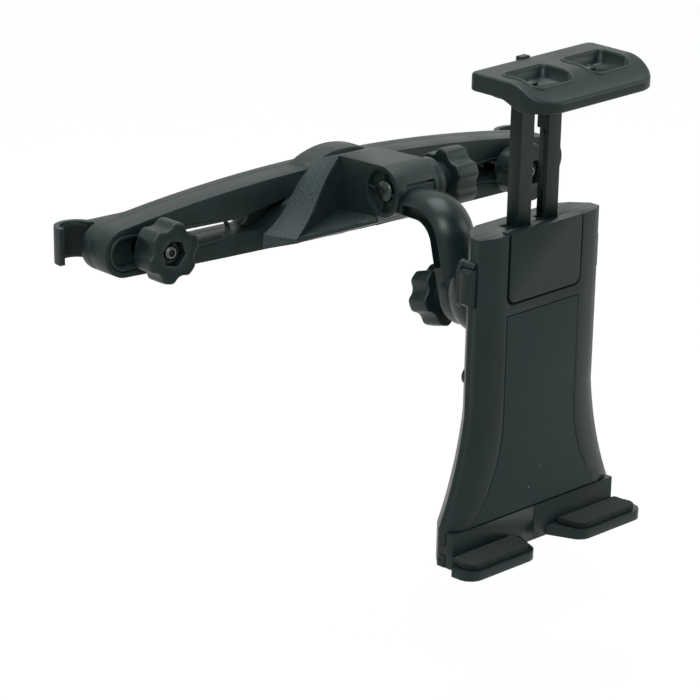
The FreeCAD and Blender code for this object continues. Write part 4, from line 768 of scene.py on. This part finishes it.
JAW_TOP = 206.0
JAW_PLAN = (36.6, 13.0, -27.0, 3.6, 13.0)
JAW_FRONT = JAW_PLAN[2]
JAW_PLATE = 7.5
JAW_DROP = 6.2
JAW_ROLL_START = -9.0
JAW_ROLL_RUN = JAW_ROLL_START - JAW_FRONT + 1.0
JAW_LIP = 10.9
JAW_LIP_START = -3.0
JAW_LIP_RUN = 12.0
JAW_LIP_BACK = -21.2
JAW_ROUNDING = 1.3
JAW_DEEP = 18.9
JAW_TOP_INSETS = (JAW_DEEP, 17.0, 15.0, 13.0, 11.0, 9.0, 7.0, 5.0, 3.5, 2.4, 1.3, 0.9, 0.5, 0.2,
                  0.05, 0.0)
JAW_EDGE_INSETS = (0.0, 0.2, 0.6, 1.2)
JAW_EDGE_EASE = 0.1
JAW_LIP_INSET = 2.4
JAW_FOOT_INSETS = (2.6, 5.0, 6.0, 7.0, 9.0, 11.0, 13.0, 15.0, 17.0, JAW_DEEP)
SMALLEST_CORNER = 0.15
SIDE_STEPS = 26

# The screw pockets: their plan, then (inset, height) down the wall and round the rim
POCKET_X = 17.5
POCKET_PLAN = (11.9, 1.2, -17.0, 2.6, 4.6)
POCKET_WALL = ((-1.5, 3.0), (-1.5, 0.9), (-0.6, 0.35), (0.0, 0.0), (0.25, -0.6), (0.7, -5.0))
POCKET_RIM = ((-1.7, -0.4), (-1.6, 0.1), (-1.1, 0.42), (-0.5, 0.42), (0.0, 0.1), (0.05, -0.8),
              (-1.0, -0.8))
SCREW_Y = -3.5
TAB_LOW = (-6.0, 12.0, JAW_TOP - 3.0)
TAB_HIGH = (-0.8, 15.2, JAW_TOP + 0.7)
SCREW_PROFILE = [(CORE, -8.0), (1.3, -8.0), (1.3, -5.0), (2.7, -5.0), (2.7, -4.0), (2.2, -3.6),
                 (CORE, -3.6)]


def plan_loop(half, back, front, back_corner, front_corner, inset):
    # A rounded rectangle drawn in by inset, with as many points at each inset
    corners = ((1, -1, front_corner, front), (1, 1, back_corner, back),
               (-1, 1, back_corner, back), (-1, -1, front_corner, front))
    arcs = []
    for side, way, corner, edge in corners:
        radius = max(corner - inset, SMALLEST_CORNER)
        centre = (side * (half - inset - radius), edge - way * (inset + radius))
        middle = math.atan2(way, side)
        arcs.append([(centre[0] + radius * math.cos(middle + math.radians(t)),
                      centre[1] + radius * math.sin(middle + math.radians(t)))
                     for t in range(-45, 46, 6)])
    points = []
    for i, arc_points in enumerate(arcs):
        points += arc_points
        points += between(arc_points[-1], arcs[(i + 1) % 4][0], SIDE_STEPS)
    return points


def eased(t):
    t = min(1.0, max(0.0, t))
    return t * t * (3 - 2 * t)


def jaw_top_at(y):
    return -JAW_DROP * eased((JAW_ROLL_START - y) / JAW_ROLL_RUN)


def jaw_foot_at(y):
    return -JAW_PLATE - (JAW_LIP - JAW_PLATE) * eased((JAW_LIP_START - y) / JAW_LIP_RUN)


def jaw_rounding_at(inset):
    near = max(0.0, JAW_ROUNDING - inset)
    return JAW_ROUNDING - math.sqrt(JAW_ROUNDING ** 2 - near ** 2)


def jaw_ring(inset, height_at):
    return [on_holder(x, y, JAW_TOP + height_at(y)) for x, y in plan_loop(*JAW_PLAN, inset)]


def jaw_rings():
    rings = []
    for inset in JAW_TOP_INSETS:
        rounding = jaw_rounding_at(inset)
        rings.append(jaw_ring(inset, lambda y: jaw_top_at(y) - rounding))
    rings.append(jaw_ring(0.0, lambda y: (jaw_top_at(y) + jaw_foot_at(y)) / 2))
    for inset in JAW_EDGE_INSETS:
        rounding = jaw_rounding_at(inset + JAW_EDGE_EASE)
        rings.append(jaw_ring(inset, lambda y: jaw_foot_at(y) + rounding))
    rings.append(jaw_ring(JAW_LIP_INSET, jaw_foot_at))
    for inset in JAW_FOOT_INSETS:
        rings.append(jaw_ring(inset, lambda y: jaw_foot_at(y) if y < JAW_LIP_BACK else -JAW_PLATE))
    return rings


def jaw_pocket(jaw, side, side_name):
    # The pocket, its raised rim and its sunk screw
    wall = [[on_holder(side * POCKET_X + x, y, JAW_TOP + height)
             for x, y in plan_loop(*POCKET_PLAN, inset)] for inset, height in POCKET_WALL]
    cut_or_join(jaw, skin("pocket", wall), "DIFFERENCE")
    rim = [[on_holder(side * POCKET_X + x, y, JAW_TOP + height + jaw_top_at(y))
            for x, y in plan_loop(*POCKET_PLAN, inset)] for inset, height in POCKET_RIM]
    dressed(skin(side_name + "_pocket_rim", rim, closed=True), JAW, "jaw")
    node = side_name + "_jaw_screw"
    screw = turned(node + "_sunk", SCREW_PROFILE, on_holder(side * POCKET_X, SCREW_Y, JAW_TOP),
                   HOLDER_UP, 40)
    dressed(screw, BLACK_STEEL, node, [node])


def jaw_piece():
    jaw = skin("jaw_shell", jaw_rings())
    jaw_pocket(jaw, -1, "left")
    jaw_pocket(jaw, 1, "right")
    dressed(holder_block("jaw_tab", TAB_LOW, TAB_HIGH), JAW, "jaw", width=0.3, segments=2)
    dressed(jaw, JAW, "jaw", ["jaw"])


jaw_piece()

# Smooth webs over the racks where the bars stand free

WEB_X = (5.95, 7.4)
WEB_Y = (6.4, 11.1)
WEB_Z = (139.0, 176.3)


def rack_web(name, side, node):
    x0, x1 = sorted(side * x for x in WEB_X)
    web = holder_block(name, (x0, WEB_Y[0], WEB_Z[0]), (x1, WEB_Y[1], WEB_Z[1]))
    dressed(web, BAR, node)


rack_web("left_rack_web", -1, "left_jaw_bar")
rack_web("right_rack_web", 1, "right_jaw_bar")

# A rounded ridge round each clamp's recess, fading along the slot. Its path is drawn on the left
# round two circles, given as (x, z, radius)

RECESS_END = (-116.6, -3.1, 6.9)
RECESS_TAIL = (-66.0, -2.3, 3.85)
RIDGE_WIDTH = 1.15
RIDGE_WIDTH_LOSS = 0.75
RIDGE_RISE = 0.15
RIDGE_RISE_LOSS = 0.02
RIDGE_SINK = 1.1
RIDGE_TAIL_SINK = 0.25
RIDGE_DEPTH = 3.0
LEG_STEPS = 20


def arc_of(circle, start, sweep, steps, fade):
    x, z, radius = circle
    angles = [start + sweep * i / steps for i in range(steps + 1)]
    return [(x + radius * math.cos(a), z + radius * math.sin(a), fade) for a in angles]


def ridge_path():
    # Points (x, z, fade), where fade grows from the round end to the tail
    lean = math.asin((RECESS_END[2] - RECESS_TAIL[2]) / (RECESS_TAIL[0] - RECESS_END[0]))
    round_end = arc_of(RECESS_END, math.pi / 2 - lean, math.pi + 2 * lean, 24, 0.0)
    tail = arc_of(RECESS_TAIL, -math.pi / 2 + lean, math.pi - 2 * lean, 12, 1.0)
    out_leg = between(round_end[-1], tail[0], LEG_STEPS)
    return round_end + out_leg + tail + between(tail[-1], round_end[0], LEG_STEPS)


def ridge_piece(name, side):
    path = ridge_path()
    loops = []
    for i, (x, z, fade) in enumerate(path):
        ahead, behind = path[(i + 1) % len(path)], path[i - 1]
        along = Vector((ahead[0] - behind[0], ahead[1] - behind[1])).normalized()
        out = Vector((along.y, -along.x))
        width = RIDGE_WIDTH - RIDGE_WIDTH_LOSS * fade
        sink = RIDGE_SINK * (1 - fade) + RIDGE_TAIL_SINK * fade
        rise = RIDGE_RISE - RIDGE_RISE_LOSS * fade
        section = []
        for k in range(9):
            angle = math.pi * k / 8
            section.append((width * math.cos(angle), sink - (sink + rise) * math.sin(angle)))
        section += [(-width, RIDGE_DEPTH), (width, RIDGE_DEPTH)]
        loops.append([vec(side * (x + out.x * away), BEAM_FRONT_Y + depth, z + out.y * away)
                      for away, depth in section])
    dressed(skin(name, loops, closed=True), CHARCOAL, "beam_front_shell")


ridge_piece("left_recess_ridge", 1)
ridge_piece("right_recess_ridge", -1)

# Hooks with a thinner and lower wall. The wall that is thinned lies between the two radii
# about the post, behind the thinning line or on the side away from the beam's middle

HOOK_SQUEEZE = 0.875
HOOK_CORE_HEIGHT = 6.0
HOOK_WALL = (9.0, 10.1)
HOOK_THIN_RADIUS = 9.1
HOOK_THIN_Y = 3.6


def slim_hook(name, node, post_x, away):
    obj = placed(name, NODES[node].data.copy())
    for vertex in obj.data.vertices:
        x, y, z = vertex.co / MM
        if abs(z - HOOK_MIDDLE) > HOOK_CORE_HEIGHT:
            z = HOOK_MIDDLE + (z - HOOK_MIDDLE) * HOOK_SQUEEZE
        spoke = Vector((x - post_x, max(y, 0.0)))
        in_wall = HOOK_WALL[0] < spoke.length < HOOK_WALL[1]
        if in_wall and (y > HOOK_THIN_Y or spoke.x * away > 0):
            spoke *= HOOK_THIN_RADIUS / spoke.length
            x = post_x + spoke.x
            y = spoke.y if y > 0 else y
        vertex.co = vec(x, y, z)
    dressed(obj, CHARCOAL, node, [node], width=0.5)


slim_hook("left_hook_casting", "left_hook", -LEFT_POST, -1)
slim_hook("right_hook_casting", "right_hook", RIGHT_POST, 1)

# The hinge bolt with a domed head

HEAD_START = -8.6
HEAD_RADIUS = 4.9
HEAD_RIM = 0.8
HEAD_DOME = 1.9
HINGE_BOLT_RADIUS = 2.5
HINGE_BOLT_CHAMFER = 0.5


def hinge_bolt_piece():
    end = HEAD_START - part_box("hinge_bolt")[1].x / MM
    profile = [(CORE, end), (HINGE_BOLT_RADIUS - HINGE_BOLT_CHAMFER, end),
               (HINGE_BOLT_RADIUS, end + HINGE_BOLT_CHAMFER), (HINGE_BOLT_RADIUS, 0.0),
               (HEAD_RADIUS, 0.0), (HEAD_RADIUS, HEAD_RIM)]
    for step in range(1, 9):
        lean = math.pi / 2 * step / 8
        profile.append((CORE + (HEAD_RADIUS - CORE) * math.cos(lean),
                        HEAD_RIM + HEAD_DOME * math.sin(lean)))
    bolt = turned("hinge_bolt_domed", profile, vec(HEAD_START, HINGE_Y, HINGE_Z), (-1, 0, 0))
    dressed(bolt, DOMED, "hinge_bolt", ["hinge_bolt"])


hinge_bolt_piece()

# Painted shade: a near-black strip along the groove round the cover and a near-black patch at the
# notch beside the left bar

COVER_HALF = 22.0
COVER_FOOT = 108.5
COVER_CORNER = 3.5
GROOVE_TOP = 137.6
GROOVE_SECTION = ((0.0, -0.06), (0.75, -0.06), (0.75, 0.3), (0.0, 0.3))
NOTCH_LOW = (-16.0, 8.8, 137.5)
NOTCH_HIGH = (-12.5, 11.9, 138.06)


def cover_corner(side):
    # Points (x, z, outward x, outward z) from the side edge down to the foot
    points = []
    for i in range(9):
        angle = math.pi / 2 * i / 8
        out_x, out_z = math.cos(angle), -math.sin(angle)
        points.append((side * (COVER_HALF - COVER_CORNER + COVER_CORNER * out_x),
                       COVER_FOOT + COVER_CORNER + COVER_CORNER * out_z, side * out_x, out_z))
    return points


def groove_shade_piece():
    path = [(-COVER_HALF, GROOVE_TOP, -1, 0)] + cover_corner(-1)
    path += reversed(cover_corner(1))
    path.append((COVER_HALF, GROOVE_TOP, 1, 0))
    loops = [[on_holder(x + out_x * away, y, z + out_z * away) for away, y in GROOVE_SECTION]
             for x, z, out_x, out_z in path]
    dressed(skin("cover_groove_shade", loops), SHADOW, "holder_front_shell")


groove_shade_piece()
dressed(holder_block("bar_notch_shade", NOTCH_LOW, NOTCH_HIGH), SHADOW, "holder_front_shell")

# A cheek behind each release button and a lug above it, as outlines (x, z) on the right with
# their front and back

CHEEK = ((36.0, 128.6), (38.2, 127.6), (39.3, 125.6), (39.3, 110.2), (38.2, 108.4), (36.0, 107.8))
CHEEK_Y = (10.7, 13.0)
LUG = ((36.0, 128.4), (37.6, 127.5), (38.6, 125.9), (36.0, 125.9))
LUG_Y = (5.0, 11.2)


def button_surround(side, side_name):
    for label, outline, depths in (("cheek", CHEEK, CHEEK_Y), ("lug", LUG, LUG_Y)):
        loops = [[on_holder(side * x, y, z) for x, z in outline] for y in depths]
        dressed(skin(side_name + "_button_" + label, loops), SATIN, "holder_front_shell", width=0.5)


button_surround(-1, "left")
button_surround(1, "right")

# Screw threads on the bolt ends that show inside the knobs

THREAD_RADIUS = 3.0
THREAD_TURNS = 3
THREAD_PITCH = 1.0
THREAD_ROOT = 0.35
THREAD_CREST = 0.05
THREAD_INNER = 1.0
THREAD_POINT = [(THREAD_RADIUS - THREAD_ROOT, -0.35), (2.25, 0.03), (1.75, 0.03), (1.55, -0.3)]
BOLT_END_DEPTH = 1.8


def thread_piece(name, node, end, direction):
    profile = [(THREAD_RADIUS - THREAD_INNER, -THREAD_PITCH * THREAD_TURNS)]
    for i in range(THREAD_TURNS):
        foot = -THREAD_PITCH * (THREAD_TURNS - i)
        profile += [(THREAD_RADIUS - THREAD_ROOT, foot),
                    (THREAD_RADIUS + THREAD_CREST, foot + THREAD_PITCH / 2)]
    dressed(turned(name, profile + THREAD_POINT, end, direction, 48), THREAD, node)


CLAMP_END_Y = CLAMP_SEAT_Y - CLAMP_HUB - KNOB_THICK + BOLT_END_DEPTH
SWIVEL_END = SWIVEL_SEAT + SWIVEL_HUB + KNOB_THICK - BOLT_END_DEPTH
thread_piece("left_bolt_thread", "left_hook_bolt", vec(LEFT_CLAMP_X, CLAMP_END_Y, SLOT_Z),
             (0, -1, 0))
thread_piece("right_bolt_thread", "right_hook_bolt", vec(RIGHT_CLAMP_X, CLAMP_END_Y, SLOT_Z),
             (0, -1, 0))
thread_piece("swivel_bolt_thread", "swivel_bolt", (DOME_CENTRE + BACK_DIR * SWIVEL_END) * MM,
             BACK_DIR)

# The camera, fitted to the photograph: it looks at AIM from DISTANCE away, shifted sideways and
# down so that the aim stands where the photograph shows it

AZIMUTH = math.radians(-39.49)
ELEVATION = math.radians(18.05)
AIM = vec(2.0, -68.5, -20.0)
SHIFT_LEFT = 28.26
SHIFT_DOWN = 36.06
DISTANCE = 1610.0
FOCAL_PIXELS = 3800.0
PICTURE_PIXELS = 700.0
SENSOR = 36.0
NEAREST = 0.05
FARTHEST = 20.0


def fitted_camera():
    right = Vector((math.cos(AZIMUTH), math.sin(AZIMUTH), 0.0))
    back = Vector((math.sin(AZIMUTH) * math.cos(ELEVATION),
                   -math.cos(AZIMUTH) * math.cos(ELEVATION), math.sin(ELEVATION)))
    up = back.cross(right)
    eye = AIM - right * SHIFT_LEFT * MM - up * SHIFT_DOWN * MM + back * DISTANCE * MM
    data = bpy.data.cameras.new("Camera")
    camera = placed("Camera", data)
    camera.matrix_world = Matrix((
        (right.x, up.x, back.x, eye.x),
        (right.y, up.y, back.y, eye.y),
        (right.z, up.z, back.z, eye.z),
        (0.0, 0.0, 0.0, 1.0),
    ))
    data.sensor_width = SENSOR
    data.lens = FOCAL_PIXELS / PICTURE_PIXELS * SENSOR
    data.clip_start = NEAREST
    data.clip_end = FARTHEST
    bpy.context.scene.camera = camera


fitted_camera()

# Light: large soft boxes round a white studio. Places and sizes are metres, powers are watts

LIGHT_TINT = (0.88, 1.0, 0.985)
LIGHT_TARGET = Vector((0, -0.08, 0))
FLOOR_DROP = 0.06
FLOOR_SIZE = 3.0
FLOOR_GLOW = 0.93


def area_light(name, place, size, power):
    data = bpy.data.lights.new(name, "AREA")
    data.shape = "RECTANGLE"
    data.size = size
    data.size_y = size
    data.energy = power
    data.color = LIGHT_TINT
    light = placed(name, data)
    light.location = place
    light.rotation_euler = (LIGHT_TARGET - Vector(place)).to_track_quat("-Z", "Y").to_euler()


area_light("Key", (-0.9, -1.0, 1.1), size=0.7, power=19.0)
area_light("Fill", (1.1, -0.9, 0.5), size=0.6, power=4.5)
area_light("Top", (0.1, 0.1, 1.4), size=1.0, power=22.0)


def seen_directly(tree):
    # One for what the camera, metal or glass sees, nought for light that falls on things
    path = tree.nodes.new("ShaderNodeLightPath")
    total = path.outputs["Is Camera Ray"]
    for ray in ("Is Glossy Ray", "Is Transmission Ray"):
        add = math_of(tree, "ADD", total, path.outputs[ray])
        add.use_clamp = True
        total = add.outputs["Value"]
    return total


def mixed(tree, share, first, second):
    mix = tree.nodes.new("ShaderNodeMixShader")
    tree.links.new(share, mix.inputs["Fac"])
    tree.links.new(first.outputs[0], mix.inputs[1])
    tree.links.new(second.outputs[0], mix.inputs[2])
    return mix.outputs["Shader"]


def studio_world():
    world = bpy.data.worlds.new("World")
    bpy.context.scene.world = world
    world.use_nodes = True
    tree = world.node_tree
    tree.nodes.clear()
    out = tree.nodes.new("ShaderNodeOutputWorld")
    soft = node_of(tree, "ShaderNodeBackground", Color=(0.9, 0.95, 1.0, 1.0), Strength=0.5)
    white = node_of(tree, "ShaderNodeBackground", Color=(1.0, 1.0, 1.0, 1.0), Strength=1.0)
    tree.links.new(mixed(tree, seen_directly(tree), soft, white), out.inputs["Surface"])


def floor(level):
    mesh = bpy.data.meshes.new("Floor")
    form = bmesh.new()
    bmesh.ops.create_grid(form, x_segments=12, y_segments=12, size=FLOOR_SIZE)
    form.to_mesh(mesh)
    form.free()
    obj = placed("Floor", mesh)
    obj.location = (0.0, 0.0, level)
    mat = bpy.data.materials.new("Floor white")
    mat.use_nodes = True
    tree = mat.node_tree
    tree.nodes.clear()
    out = tree.nodes.new("ShaderNodeOutputMaterial")
    lit = node_of(tree, "ShaderNodeBsdfDiffuse", Color=(0.82, 0.82, 0.82, 1.0))
    glow = node_of(tree, "ShaderNodeEmission", Color=(1.0, 1.0, 1.0, 1.0), Strength=1.0)
    share = tree.nodes.new("ShaderNodeMath")
    share.operation = "MULTIPLY"
    share.inputs[1].default_value = FLOOR_GLOW
    tree.links.new(seen_directly(tree), share.inputs[0])
    tree.links.new(mixed(tree, share.outputs["Value"], lit, glow), out.inputs["Surface"])
    mesh.materials.append(mat)


studio_world()
floor(CAD_BOX[0][2] - FLOOR_DROP)
bpy.context.scene.view_settings.view_transform = "Standard"
